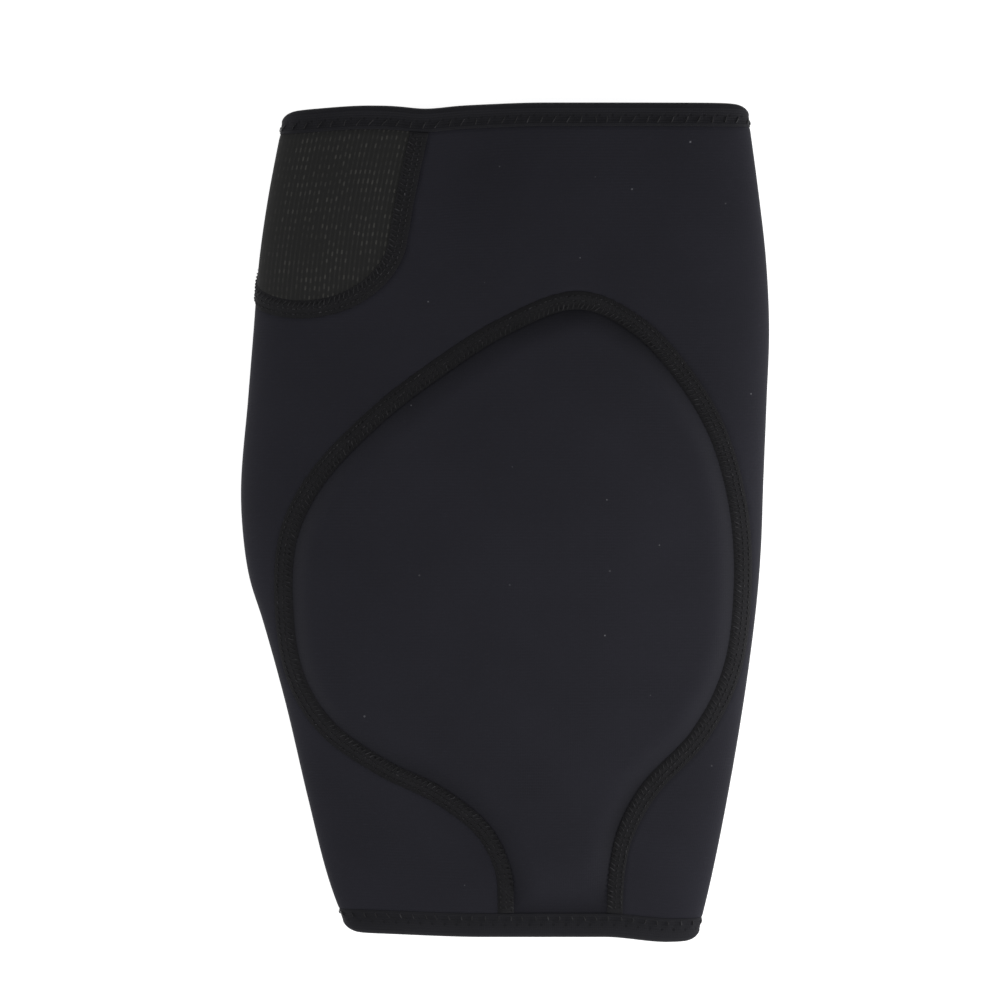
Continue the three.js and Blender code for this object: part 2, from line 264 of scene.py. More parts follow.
# Stage: floor in millimetres, lights and camera in metres and watts, lens in millimetres
FLOOR_REACH = 2500
FLOOR_DROP = 0.6
SKY_STRENGTH = 0.3
Lamp = namedtuple("Lamp", "name place power size")
LAMPS = (
    Lamp("key light", (0.12, -0.12, 0.62), 2.1, 0.4),
    Lamp("right light", (0.9, -0.05, 0.15), 7.4, 0.3),
    Lamp("left light", (-0.9, 0.1, 0.15), 4, 0.3),
    Lamp("front light", (0.1, -0.7, 0.25), 1.3, 0.3),
)
VIEW_MIDDLE = (-0.00183, 0.00806)
VIEW_LEVEL = 0.0095
VIEW_WIDTH = 0.358
VIEW_END = 20
LENS = 300
SENSOR = 36


def cloth_length(name, description, default, least=0.0):
    """Length that a user may change, in metres"""
    return FloatProperty(name=name, description=description, default=default, min=least, unit="LENGTH")


class KneeSleeveSizes(bpy.types.PropertyGroup):
    """Sizes of the cloth, seams and stitches"""

    wall: cloth_length("Wall", "Thickness of the neoprene", 0.003, least=0.001)
    seam_width: cloth_length("Seam Width", "Width of the flat-lock seam bands", 0.0066, least=0.002)
    seam_proud: cloth_length("Seam Height", "How far the seam bands stand out of the cloth", 0.00045)
    pad_shoulder: cloth_length("Pad Shoulder", "Rise of the pad next to its seam", 0.0048)
    pad_crown: cloth_length("Pad Crown", "Further rise of the pad's middle before it swells", 0.0035)
    pad_swell: cloth_length("Pad Swell", "Most that the filling pushes the pad's face out", 0.0045)
    thread_radius: cloth_length("Thread Radius", "Radius of the sewing thread", 0.0002, least=0.00005)
    seam_stitch: cloth_length("Seam Stitch", "Length of one stitch of the seam bands", 0.0019, least=0.0005)
    thigh_stitch: cloth_length("Thigh Stitch", "Length of one thigh binding stitch", 0.0047, least=0.001)
    calf_stitch: cloth_length("Calf Stitch", "Length of one calf binding stitch", 0.0044, least=0.001)
    course: cloth_length("Knit Course", "Spacing of the knit ridges up the leg", 0.0011, least=0.0002)
    wale: cloth_length("Knit Wale", "Spacing of the knit loops round the leg", 0.0008, least=0.0002)
    mesh_column: cloth_length("Mesh Column", "Spacing of mesh threads round the leg", 0.00168, least=0.0002)
    mesh_row: cloth_length("Mesh Row", "Spacing of rows of mesh threads up the leg", 0.0032, least=0.0005)


def cloth_colour(name, description, default):
    """Colour of one finish that a user may change"""
    return FloatVectorProperty(
        name=name, description=description, default=default, min=0.0, max=1.0, size=3, subtype="COLOR"
    )


class KneeSleeveColours(bpy.types.PropertyGroup):
    """Colours of the finishes"""

    neoprene: cloth_colour("Neoprene", "Jersey face of the sleeve", (0.0140, 0.0138, 0.0182))
    pad: cloth_colour("Pad Face", "Jersey face of the pad", (0.0142, 0.0140, 0.0184))
    seam: cloth_colour("Seam Band", "Bed of the flat-lock seams", (0.0119, 0.0117, 0.0130))
    thread: cloth_colour("Thread", "Sewing thread", (0.0130, 0.0128, 0.0138))
    mesh: cloth_colour("Mesh Ground", "Ground of the side patch", (0.0157, 0.0157, 0.0155))
    mesh_thread: cloth_colour("Mesh Thread", "Raised threads of the side patch", (0.041, 0.040, 0.0375))
    binding: cloth_colour("Binding", "Tape folded over both ends", (0.0117, 0.0116, 0.0140))
    lint: cloth_colour("Lint", "Loose specks caught in the cloth", (0.11, 0.11, 0.12))
    floor: cloth_colour("Floor", "Plain studio floor", (0.5, 0.5, 0.5))


def smoothstep(value, low, high):
    """Smooth rise from 0 at low to 1 at high"""
    share = np.clip((value - low) / (high - low), 0, 1)
    return share * share * (3 - 2 * share)


def bump(distance, run):
    """Soft bump that is 1 at no distance and fades over a run"""
    return np.exp(-((distance / run) ** 2))


def smooth_run(name):
    """Smooth run of one column of the sections table up the leg"""
    station = np.array([row.y for row in SECTIONS], float)
    value = np.array([getattr(row, name) for row in SECTIONS], float)
    slope = np.diff(value) / np.diff(station)
    tangent = np.concatenate((slope[:1], (slope[1:] + slope[:-1]) / 2, slope[-1:]))

    def at(y):
        y = np.clip(y, station[0], station[-1])
        i = np.clip(np.searchsorted(station, y, side="right") - 1, 0, len(station) - 2)
        span = station[i + 1] - station[i]
        t = (y - station[i]) / span
        near = (2 * t**3 - 3 * t**2 + 1) * value[i] + (t**3 - 2 * t**2 + t) * span * tangent[i]
        far = (3 * t**2 - 2 * t**3) * value[i + 1] + (t**3 - t**2) * span * tangent[i + 1]
        return near + far

    return at


left_of = smooth_run("left")
right_of = smooth_run("right")
height_of = smooth_run("height")


def middle_of(y):
    return (left_of(y) + right_of(y)) / 2


def half_width_of(y):
    return (right_of(y) - left_of(y)) / 2


def sunk_over(slopes, x):
    """How far an edge has sunk at x over slopes that each run from one x to another"""
    return sum(slope.depth * (1 - smoothstep(x, slope.end, slope.start)) for slope in slopes)


def over_rise(reach):
    """Share of the height over the folds that the front has at a share of the half width"""
    return (1 - reach**SHOULDER_POWER) ** (1 / SHOULDER_POWER)


def under_fall(reach, y):
    """Share of the height under the folds that the back has at a share of the half width"""
    corner = BACK_CORNER_SHARE * WAIST_SHARE * height_of(y)
    turn = np.clip(((reach - 1) * half_width_of(y) + corner) / corner, 0, 1)
    return np.sqrt(1 - turn**2)


def lying_station(side, y, front):
    """Station of the cloth of nominal station y once both ends hang as they lie"""
    x = middle_of(y) + half_width_of(y) * side
    top_share = smoothstep(y, HALF_LENGTH - EDGE_RUN, HEM_LINE)
    bottom_share = smoothstep(-y, HALF_LENGTH - EDGE_RUN, HEM_LINE)
    droop = sunk_over(TOP_DROOPS, x) + TOP_DIP.depth * bump(x - TOP_DIP.x, TOP_DIP.run)
    climb = sunk_over(BOTTOM_CLIMBS, x)
    into_hem = np.maximum(np.abs(y) - HEM_LINE, 0) / HEM_WIDTH
    reach = np.clip(np.abs(side), 0, 1)
    level = np.where(front, over_rise(reach), under_fall(reach, y))
    corner = HEM_CORNER * into_hem * (1 - level**2) ** HEM_CORNER_POWER
    return y - droop * top_share + climb * bottom_share - np.sign(y) * corner


def leg_point(side, y, depth=0.0, front=True):
    """Points of the sleeve: side runs from -1 at the left fold to 1 at the right one, over the
    front or under the back, and depth is how far they lie inside the outer face"""
    side, y, depth, front = np.broadcast_arrays(side, y, depth, front)
    station = lying_station(side, y, front)
    half = half_width_of(station)
    tall = height_of(station)
    waist = WAIST_SHARE * tall
    x = middle_of(station) + (half - depth) * side
    reach = np.clip(np.abs(side), 0, 1)
    dent = THIGH_DENT.depth * bump(x - THIGH_DENT.x, THIGH_DENT.x_run)
    dent = dent * bump(y - THIGH_DENT.y, THIGH_DENT.y_run)
    over = waist + (tall - depth - waist - dent) * over_rise(reach)
    under = np.maximum(0, waist - (waist - depth) * under_fall(reach, station))
    return np.stack((x, station, np.where(front, over, under)), axis=-1)


def front_point(x, y, depth=0.0):
    """Points over the front, placed as they show from above"""
    side = np.clip((x - middle_of(y)) / half_width_of(y), -1, 1)
    return leg_point(side, y, depth)


def fold_point(length, y, depth=0.0):
    """Points at a length round the leg from the left fold, over the front where it is positive"""
    length, y, depth = np.broadcast_arrays(length, y, depth)
    shape = length.shape
    length, y, depth = length.ravel(), y.ravel(), depth.ravel()
    front = length >= 0
    angle = np.linspace(0, FOLD_TURN, FOLD_STEPS)
    walk = leg_point(-np.cos(angle), y[:, None], 0.0, front[:, None])
    steps = np.linalg.norm(np.diff(walk, axis=1), axis=2)
    walked = np.hstack((np.zeros((len(y), 1)), np.cumsum(steps, axis=1)))
    after = np.clip((walked < np.abs(length)[:, None]).sum(axis=1), 1, len(angle) - 1)
    row = np.arange(len(y))
    share = (np.abs(length) - walked[row, after - 1]) / steps[row, after - 1]
    found = angle[after - 1] + share * (angle[after] - angle[after - 1])
    return leg_point(-np.cos(found), y, depth, front).reshape(*shape, 3)


def unit(vectors):
    return vectors / np.linalg.norm(vectors, axis=-1, keepdims=True)


def front_normal(x, y):
    """Outward directions over the front"""
    reach = 0.5
    across = front_point(x + reach, y) - front_point(x - reach, y)
    up_leg = front_point(x, y + reach) - front_point(x, y - reach)
    return unit(np.cross(across, up_leg))


def path_lengths(path):
    """Length walked at each point of a path"""
    steps = np.linalg.norm(np.diff(path, axis=0), axis=1)
    return np.concatenate(([0], np.cumsum(steps)))


def spaced(path, count):
    """A path's points again, evenly spaced"""
    lengths = path_lengths(path)
    at = np.linspace(0, lengths[-1], count)
    return np.column_stack([np.interp(at, lengths, column) for column in path.T])


def pad_seam_path():
    """Spline through the pad's seam, from the calf hem round the knee and back"""
    points = np.array(PAD_SEAM)
    last = len(points) - 1
    t = np.linspace(0, 1, SPLINE_STEPS, endpoint=False)[:, None]
    spans = []
    for i in range(last):
        before, start, end, after = (points[np.clip(i + k, 0, last)] for k in (-1, 0, 1, 2))
        leave = (end - before) / 2
        arrive = (after - start) / 2
        cubic = 2 * start - 2 * end + leave + arrive
        square = 3 * end - 3 * start - 2 * leave - arrive
        spans.append(cubic * t**3 + square * t**2 + leave * t + start)
    return np.vstack((*spans, points[-1:]))


def patch_seam_path():
    """U of the patch's seam, from the thigh hem down, round and back up"""
    half = (PATCH.right - PATCH.left) / 2
    level = PATCH.bottom + PATCH.arc_height
    angle = np.linspace(0, -math.pi, BOW_STEPS)
    across = PATCH.left + half + half * np.cos(angle)
    bow = np.column_stack((across, level + PATCH.arc_height * np.sin(angle)))
    return np.vstack(([PATCH.right, SEAM_END], bow, [PATCH.left, SEAM_END]))


def left_normals(path):
    run = unit(np.gradient(path, axis=0))
    return np.column_stack((-run[:, 1], run[:, 0]))


def moved_sideways(path, distance):
    return path + left_normals(path) * distance


def distance_to(path, spots):
    """Shortest distance from each spot to a path, worked out a few thousand spots at a time"""
    start = path[:-1]
    step = np.diff(path, axis=0)
    flat = spots.reshape(-1, 2)
    nearest = np.empty(len(flat))
    batch = 4000
    for i in range(0, len(flat), batch):
        away = flat[i : i + batch, None] - start
        share = np.clip((away * step).sum(axis=-1) / (step**2).sum(axis=-1), 0, 1)
        nearest[i : i + batch] = np.linalg.norm(away - share[..., None] * step, axis=-1).min(axis=1)
    return nearest.reshape(spots.shape[:-1])


def lies_inside(path, spots):
    """Whether each spot lies within a path that is closed by a straight line"""
    ax, ay = path.T
    bx, by = np.roll(path, -1, axis=0).T
    x, y = spots[..., 0, None], spots[..., 1, None]
    rise = np.where(by == ay, 1, by - ay)
    crosses = ((ay > y) != (by > y)) & (x < ax + (y - ay) * (bx - ax) / rise)
    return crosses.sum(axis=-1) % 2 == 1


def run_on(path, distance):
    """A seam's path with both ends run on towards the hem"""
    first, last = (spot + [0, np.sign(spot[1]) * distance] for spot in path[[0, -1]])
    return np.vstack((first, path, last))


PAD_PATH = pad_seam_path()
PATCH_PATH = patch_seam_path()


def grid_faces(rows, columns, closed=False):
    """Quads over a grid of points, row by row, closed round its columns or open"""
    row = np.arange(rows - 1)[:, None]
    column = np.arange(columns if closed else columns - 1)[None]
    here = row * columns + column
    beside = row * columns + (column + 1) % columns
    quads = np.stack((here, beside, beside + columns, here + columns), axis=-1)
    return quads.reshape(-1, 4)


def rim_faces(quads, shift):
    """Quads that join the open edges of one face to the same edges of the other"""
    edges = np.stack((quads, np.roll(quads, -1, axis=1)), axis=-1).reshape(-1, 2)
    size = quads.max() + 1
    forward = edges[:, 0] * size + edges[:, 1]
    backward = edges[:, 1] * size + edges[:, 0]
    a, b = edges[~np.isin(forward, backward)].T
    return np.column_stack((b, a, a + shift, b + shift))


def shell(outer, inner, quads):
    """Points and quads of a closed wall between two faces with the same grid"""
    count = len(outer)
    faces = np.vstack((quads, quads[:, ::-1] + count, rim_faces(quads, count)))
    return np.vstack((outer, inner)), faces


def corner_spots(mesh, spots, girths):
    """Flat cloth position of each face corner, run on in a face that crosses the line where the
    girths start again"""
    corner = np.empty(len(mesh.loops), int)
    mesh.loops.foreach_get("vertex_index", corner)
    flat = spots[corner]
    if girths is not None:
        first = np.empty(len(mesh.polygons), int)
        mesh.polygons.foreach_get("loop_start", first)
        furthest = np.maximum.reduceat(flat[:, 0], first)
        behind = np.repeat(furthest, np.diff(first, append=len(corner))) - flat[:, 0]
        flat[:, 0] += np.where(behind > girths[corner] / 2, girths[corner], 0)
    return flat


def new_piece(name, points, faces, spots=None, girths=None):
    """Mesh object from points in millimetres, its faces outward, with flat cloth positions as UVs"""
    mesh = bpy.data.meshes.new(name)
    mesh.from_pydata((points * MM).tolist(), [], [tuple(map(int, face)) for face in faces])
    if spots is not None:
        layer = mesh.uv_layers.new(name=CLOTH_MAP)
        layer.data.foreach_set("uv", (corner_spots(mesh, spots, girths) * MM).ravel())
    if signed_volume(mesh) < 0:
        mesh.flip_normals()
    mesh.shade_smooth()
    piece = bpy.data.objects.new(name, mesh)
    bpy.context.scene.collection.objects.link(piece)
    return piece


def discard(piece):
    """Deletes a piece that was only a step on the way, with its mesh"""
    mesh = piece.data
    bpy.data.objects.remove(piece)
    bpy.data.meshes.remove(mesh)


def mesh_points(mesh):
    points = np.empty(len(mesh.vertices) * 3)
    mesh.vertices.foreach_get("co", points)
    return points.reshape(-1, 3)


def signed_volume(mesh):
    """Volume inside a closed mesh, negative where its faces point inwards"""
    mesh.calc_loop_triangles()
    corners = np.empty(len(mesh.loop_triangles) * 3, int)
    mesh.loop_triangles.foreach_get("vertices", corners)
    a, b, c = np.moveaxis(mesh_points(mesh)[corners.reshape(-1, 3)], 1, 0)
    return float((a * np.cross(b, c)).sum() / 6)


def face_area(points, quads):
    """Area of a grid's quads, in square metres"""
    a, b, c, d = np.moveaxis(np.asarray(points)[quads] * MM, 1, 0)
    return float(np.linalg.norm(np.cross(c - a, d - b), axis=1).sum() / 2)


class Desk:
    """Places and joins the nodes of one tree"""

    def __init__(self, tree):
        self.tree = tree

    def add(self, kind, feeds=None, **settings):
        node = self.tree.nodes.new(kind)
        for name, value in settings.items():
            setattr(node, name, value)
        for name, value in (feeds or {}).items():
            self.feed(node.inputs[name], value)
        return node

    def feed(self, socket, value):
        """Joins a socket to another one, or sets it to a plain value"""
        if isinstance(value, bpy.types.NodeSocket):
            self.tree.links.new(value, socket)
        else:
            socket.default_value = value

    def shade(self, feeds):
        """Joins or sets inputs of a material's shader"""
        shader = self.tree.nodes["Principled BSDF"]
        for name, value in feeds.items():
            self.feed(shader.inputs[name], value)

    def cloth(self):
        """Flat cloth position of a piece"""
        return self.add("ShaderNodeUVMap", uv_map=CLOTH_MAP).outputs[0]

    def place(self):
        """Place in the part's frame"""
        return self.add("ShaderNodeTexCoord").outputs["Object"]

    def flat(self, cloth):
        """Run and rise of a flat cloth position"""
        return self.add("ShaderNodeSeparateXYZ", {0: cloth}).outputs[:2]

    def math(self, operation, *values):
        return self.add("ShaderNodeMath", dict(enumerate(values)), operation=operation).outputs[0]

    def vector(self, operation, *values):
        return self.add("ShaderNodeVectorMath", dict(enumerate(values)), operation=operation).outputs[0]

    def times(self, product, *factors):
        for factor in factors:
            product = self.math("MULTIPLY", product, factor)
        return product

    def gain(self, value, share, rest):
        """A share of a value, on top of the rest"""
        return self.math("MULTIPLY_ADD", value, share, rest)

    def swing(self, value):
        """How far a value lies from one half"""
        return self.math("SUBTRACT", value, 0.5)

    def noise(self, vector, scale, detail):
        """Soft noise with so many cells to a metre"""
        feeds = {"Vector": vector, "Scale": scale, "Detail": detail}
        return self.add("ShaderNodeTexNoise", feeds).outputs[0]

    def ramp(self, value, low, high, least=0.0):
        """Straight rise from least at low to 1 at high"""
        feeds = {"Value": value, "From Min": low, "From Max": high, "To Min": least}
        return self.add("ShaderNodeMapRange", feeds).outputs[0]

    def band(self, value, low, high):
        """1 between low and high, with soft edges of a fifth of the width"""
        soft = (high - low) / 5
        return self.math("SUBTRACT", self.ramp(value, low, low + soft), self.ramp(value, high - soft, high))

    def mix(self, factor, a, b):
        node = self.add("ShaderNodeMix", {0: factor, 6: a, 7: b}, data_type="RGBA")
        return node.outputs[2]

    def shades(self, factor, colour, dark, light):
        """Shades of a colour between a dark and a light share of it"""
        return self.mix(factor, scaled(colour, dark), scaled(colour, light))


def scaled(colour, share=1.0):
    """Share of a colour, with full alpha"""
    return (*(min(1.0, value * share) for value in colour), 1)


def build_group(name, effect, sizes):
    """Shader node group of an effect, with flat cloth positions and named sizes as its inputs"""
    tree = bpy.data.node_groups.new(name, "ShaderNodeTree")
    tree.interface.new_socket("Cloth", in_out="INPUT", socket_type="NodeSocketVector")
    for size in sizes:
        tree.interface.new_socket(size.title(), in_out="INPUT", socket_type="NodeSocketFloat")
    desk = Desk(tree)
    masks = effect(desk, desk.add("NodeGroupInput").outputs)
    for mask in masks:
        tree.interface.new_socket(mask, in_out="OUTPUT", socket_type="NodeSocketFloat")
    end = desk.add("NodeGroupOutput").inputs
    for mask, value in masks.items():
        desk.feed(end[mask], value)
    return tree


def place_group(desk, name, effect, cloth, **sizes):
    """Outputs of an effect's node group, which is built the first time that it is asked for"""
    group = bpy.data.node_groups.get(name) or build_group(name, effect, sizes)
    feeds = {"Cloth": cloth, **{size.title(): value for size, value in sizes.items()}}
    return desk.add("ShaderNodeGroup", feeds, node_tree=group).outputs


def knit(desk, start):
    """Knit: ridges up the leg that are broken into loops and fade in and out"""
    cloth = start["Cloth"]
    run, rise = desk.flat(cloth)
    shift = desk.times(desk.swing(desk.noise(cloth, scale=160, detail=2)), start["Wander"])

    def wave(length, pitch):
        turns = desk.math("DIVIDE", desk.math("ADD", length, shift), pitch)
        return desk.math("SINE", desk.times(turns, math.tau))

    loop = desk.gain(wave(run, start["Wale"]), share=0.16, rest=0.5)
    dashes = desk.vector("MULTIPLY", cloth, (400, 2000, 0))
    return {
        "Height": desk.gain(wave(rise, start["Course"]), share=0.34, rest=loop),
        "Patch": desk.ramp(desk.noise(cloth, scale=42, detail=3), low=0.42, high=0.66),
        "Slub": desk.ramp(desk.noise(dashes, scale=1, detail=1), low=0.62, high=0.74),
    }


def lint(desk, start):
    """Sparse specks of varied size, one at most in each cell"""
    feeds = {"Vector": start["Cloth"], "Scale": desk.math("DIVIDE", 1.0, start["Spacing"])}
    cells = desk.add("ShaderNodeTexVoronoi", feeds, voronoi_dimensions="2D").outputs
    chance, size, light = desk.add("ShaderNodeSeparateColor", {0: cells["Color"]}).outputs[:3]
    reach = desk.times(cells["Distance"], start["Spacing"])
    speck = desk.times(start["Speck"], desk.gain(size, share=0.9, rest=0.3))
    small = desk.math("LESS_THAN", reach, speck)
    kept = desk.math("LESS_THAN", chance, start["Share"])
    return {"Mask": desk.times(small, kept, desk.gain(light, share=0.8, rest=0.2))}


def uneven_dye(desk, start):
    """Uneven dye and wear: broad clouds, and a grain much finer than they are"""
    return {
        "Cloud": desk.noise(start["Cloth"], scale=start["Scale"], detail=4),
        "Grain": desk.noise(start["Cloth"], scale=1500, detail=2),
    }


def needle_holes(desk, start):
    """Row of needle holes along a seam or a binding"""
    run, rise = desk.flat(start["Cloth"])
    half = desk.times(start["Pitch"], 0.5)
    beside = desk.math("SUBTRACT", desk.math("FLOORED_MODULO", run, start["Pitch"]), half)
    across = desk.math("SUBTRACT", rise, start["Row"])
    away = desk.math("SQRT", desk.math("ADD", desk.times(beside, beside), desk.times(across, across)))
    share = desk.math("DIVIDE", away, start["Radius"])
    return {"Mask": desk.ramp(share, low=1.0, high=0.55)}


def new_material(name):
    """Material with a Principled shader, and its desk"""
    material = bpy.data.materials.new(name)
    material.use_nodes = True
    return material, Desk(material.node_tree)


def finish_cloth(desk, base, roughness, relief, strength, depth, sheen, specular):
    """Joins what varies over a cloth to its shader, and sets what is the same all over"""
    raised = desk.add("ShaderNodeBump", {"Strength": strength, "Distance": depth, "Height": relief})
    desk.shade(
        {
            "Base Color": base,
            "Roughness": roughness,
            "Normal": raised.outputs[0],
            "Specular IOR Level": specular,
            "Sheen Weight": sheen,
            "Sheen Roughness": SHEEN_ROUGHNESS,
            "Sheen Tint": SHEEN_TINT,
        }
    )


def jersey_material(name, colour, sizes, colours):
    """Nylon jersey over foam: knit ridges, uneven dye, a soft sheen and a little lint, darkened by
    painted shade next to a seam"""
    material, desk = new_material(name)
    cloth = desk.cloth()
    knitted = {"course": sizes.course, "wale": sizes.wale, "wander": 0.0005}
    loops = place_group(desk, "Jersey Knit", knit, cloth, **knitted)
    tone = place_group(desk, "Uneven Dye", uneven_dye, cloth, scale=28)
    specks = place_group(desk, "Lint", lint, cloth, spacing=0.017, speck=0.0003, share=0.22)
    cloud = desk.gain(desk.swing(tone["Cloud"]), share=0.9, rest=0.5)
    grain = desk.gain(desk.swing(tone["Grain"]), share=0.5, rest=cloud)
    streaked = desk.gain(loops["Slub"], share=0.35, rest=grain)
    ridge = desk.times(desk.swing(loops["Height"]), loops["Patch"])
    dyed = desk.shades(desk.gain(ridge, share=0.4, rest=streaked), colour, dark=0.78, light=1.22)
    # Painted shade: darker next to a seam, from values that the pad carries
    painted_shade = desk.add("ShaderNodeAttribute", attribute_name=SEAM_SHADE_VALUES).outputs["Fac"]
    with_painted_shade = desk.mix(desk.times(painted_shade, SEAM_SHADE_STRENGTH), dyed, BLACK)
    finish_cloth(
        desk,
        base=desk.mix(specks["Mask"], with_painted_shade, scaled(colours.lint)),
        roughness=desk.gain(tone["Cloud"], share=0.16, rest=0.68),
        relief=desk.gain(tone["Grain"], share=0.5, rest=loops["Height"]),
        strength=0.35,
        depth=0.00012,
        sheen=0.03,
        specular=0.06,
    )
    return material


def seam_material(name, sizes, colours):
    """Flat-lock seam: packed cross threads with rows of needle holes, and painted shade along its outer lip
    """
    material, desk = new_material(name)
    cloth = desk.cloth()
    tone = place_group(desk, "Uneven Dye", uneven_dye, cloth, scale=90)
    wander = desk.add("ShaderNodeTexNoise", {"Vector": cloth, "Scale": 420, "Detail": 1}).outputs["Color"]
    drift = desk.vector("MULTIPLY", desk.vector("SUBTRACT", wander, (0.5,) * 3), (0.0011,) * 3)
    drawn = desk.vector("ADD", cloth, drift)
    pierced = 0.0
    for row in NEEDLE_ROWS:
        hole_sizes = {"row": row * MM, "pitch": sizes.seam_stitch, "radius": 0.0004}
        found = place_group(desk, "Needle Holes", needle_holes, drawn, **hole_sizes)
        pierced = desk.math("MAXIMUM", found["Mask"], pierced)
    holes = desk.times(pierced, desk.ramp(desk.noise(cloth, scale=260, detail=1), low=0.42, high=0.7))
    run, rise = desk.flat(drawn)
    rib = desk.math("SINE", desk.times(run, math.tau / CROSS_RIB / MM))
    grain = desk.gain(desk.swing(tone["Grain"]), share=0.9, rest=tone["Cloud"])
    packed = desk.shades(desk.gain(rib, share=0.08, rest=grain), colours.seam, dark=0.78, light=1.22)
    # Painted shade: the band darkens towards its outer lip
    lip = desk.ramp(rise, low=0.0006, high=0.0026)
    shaded = desk.mix(desk.times(lip, PAINTED_LIP_SHADE), packed, BLACK)
    ribbed = desk.gain(rib, share=0.25, rest=desk.times(tone["Grain"], 0.5))
    finish_cloth(
        desk,
        base=desk.mix(holes, shaded, scaled(colours.seam, share=0.42)),
        roughness=desk.gain(tone["Cloud"], share=0.2, rest=0.6),
        relief=desk.math("SUBTRACT", ribbed, holes),
        strength=0.5,
        depth=0.00025,
        sheen=0.012,
        specular=0.06,
    )
    return material


def thread_material(name, colours):
    """Twisted polyester sewing thread, with a painted highlight on some stitches"""
    material, desk = new_material(name)
    place = desk.place()
    plies = desk.noise(place, scale=2600, detail=2)
    dull = desk.shades(plies, colours.thread, dark=0.75, light=1.25)
    # Painted highlight: some stitches are lighter, as if they catch the light
    lit = desk.ramp(desk.noise(place, scale=330, detail=1), low=0.54, high=0.74)
    finish_cloth(
        desk,
        base=desk.mix(lit, dull, scaled(colours.thread, share=2.5)),
        roughness=desk.gain(plies, share=0.25, rest=0.45),
        relief=plies,
        strength=0.5,
        depth=0.0001,
        sheen=0.01,
        specular=0.1,
    )
    return material


def mesh_material(name, sizes, colours):
    """Warp-knit mesh: broken rows of short upright threads over a dark ground, plainer next to the fold,
    where painted shade darkens the ground
    """
    material, desk = new_material(name)
    cloth = desk.cloth()
    tone = place_group(desk, "Uneven Dye", uneven_dye, cloth, scale=60)
    run, rise = desk.flat(cloth)
    drift = desk.times(desk.swing(desk.noise(cloth, scale=130, detail=2)), 0.0022)
    column = desk.math("DIVIDE", run, sizes.mesh_column)
    in_column = desk.math("FLOOR", column)
    slip = desk.add("ShaderNodeTexWhiteNoise", {"W": in_column}, noise_dimensions="1D").outputs[0]
    rows_up = desk.math("DIVIDE", desk.math("ADD", rise, drift), sizes.mesh_row)
    row = desk.math("ADD", rows_up, desk.times(slip, 0.3))
    upright = desk.band(desk.math("FRACT", column), low=0.26, high=0.7)
    rib = desk.times(upright, desk.ramp(run, low=0.009, high=0.016, least=0.25))
    thread = desk.times(rib, desk.band(desk.math("FRACT", row), low=0.14, high=0.74))
    cell = desk.add("ShaderNodeCombineXYZ", {0: in_column, 1: desk.math("FLOOR", row)}).outputs[0]
    chance = desk.add("ShaderNodeTexWhiteNoise", {"Vector": cell}, noise_dimensions="2D").outputs[0]
    worn = desk.ramp(chance, low=0, high=0.95)
    faded = desk.ramp(desk.noise(cloth, scale=75, detail=2), low=0.24, high=0.52)
    bright = desk.math("MAXIMUM", desk.times(thread, worn, faded), desk.times(rib, 0.16, tone["Cloud"]))
    cloudy = desk.shades(tone["Cloud"], colours.mesh, dark=0.75, light=1.3)
    face = desk.mix(rib, scaled(colours.mesh, share=0.93), cloudy)
    # Painted shade: the ground darkens towards the fold
    ground = desk.mix(desk.ramp(run, low=0, high=0.014), scaled(colours.mesh, share=0.72), face)
    finish_cloth(
        desk,
        base=desk.mix(bright, ground, scaled(colours.mesh_thread)),
        roughness=desk.gain(bright, share=-0.15, rest=0.75),
        relief=desk.math("MAXIMUM", desk.times(thread, 0.6), bright),
        strength=0.45,
        depth=0.0002,
        sheen=0.012,
        specular=0.08,
    )
    return material


def binding_material(name, stitch, colours):
    """Binding tape with painted shade that darkens its face along its edge, lighter towards the nose, and a
    row of needle holes
    """
    material, desk = new_material(name)
    cloth = desk.cloth()
    tone = place_group(desk, "Uneven Dye", uneven_dye, cloth, scale=45)
    loops = place_group(desk, "Jersey Knit", knit, cloth, course=0.0009, wale=0.0007, wander=0.0003)
    hole_sizes = {"row": HEM_HOLE_ROW * MM, "pitch": stitch, "radius": 0.00065}
    holes = place_group(desk, "Needle Holes", needle_holes, cloth, **hole_sizes)["Mask"]
    rise = desk.flat(cloth)[1]
    grain = desk.gain(desk.swing(tone["Grain"]), share=0.5, rest=tone["Cloud"])
    looped = desk.gain(desk.swing(loops["Height"]), share=0.4, rest=grain)
    # Painted shade: the face is darker within a few millimetres of the tape's edge
    with_painted_shade = desk.gain(desk.ramp(rise, low=0.0062, high=0.0040), share=-0.3, rest=looped)
    taped = desk.shades(with_painted_shade, colours.binding, dark=0.75, light=1.3)
    pierced = desk.times(holes, tone["Cloud"], 0.8)
    finish_cloth(
        desk,
        base=desk.mix(pierced, taped, scaled(colours.binding, share=0.3)),
        roughness=desk.gain(tone["Cloud"], share=0.2, rest=0.6),
        relief=desk.math("SUBTRACT", loops["Height"], desk.times(holes, 2)),
        strength=0.4,
        depth=0.0002,
        sheen=0.015,
        specular=0.08,
    )
    return material


def floor_material(name, colours):
    """Matt studio paper that glows, so that it stays white to its edges"""
    material, desk = new_material(name)
    paper = desk.noise(desk.place(), scale=30, detail=3)
    desk.shade(
        {
            "Base Color": desk.shades(paper, colours.floor, dark=0.99, light=1.01),
            "Roughness": 0.9,
            "Specular IOR Level": 0.0,
            "Emission Color": WHITE,
            "Emission Strength": 0.88,
        }
    )
    return material


def seat(piece, node=None):
    """Puts a finished piece on the part's one body, in place of its solid"""
    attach(piece, BODY)
    if node:
        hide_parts(node)


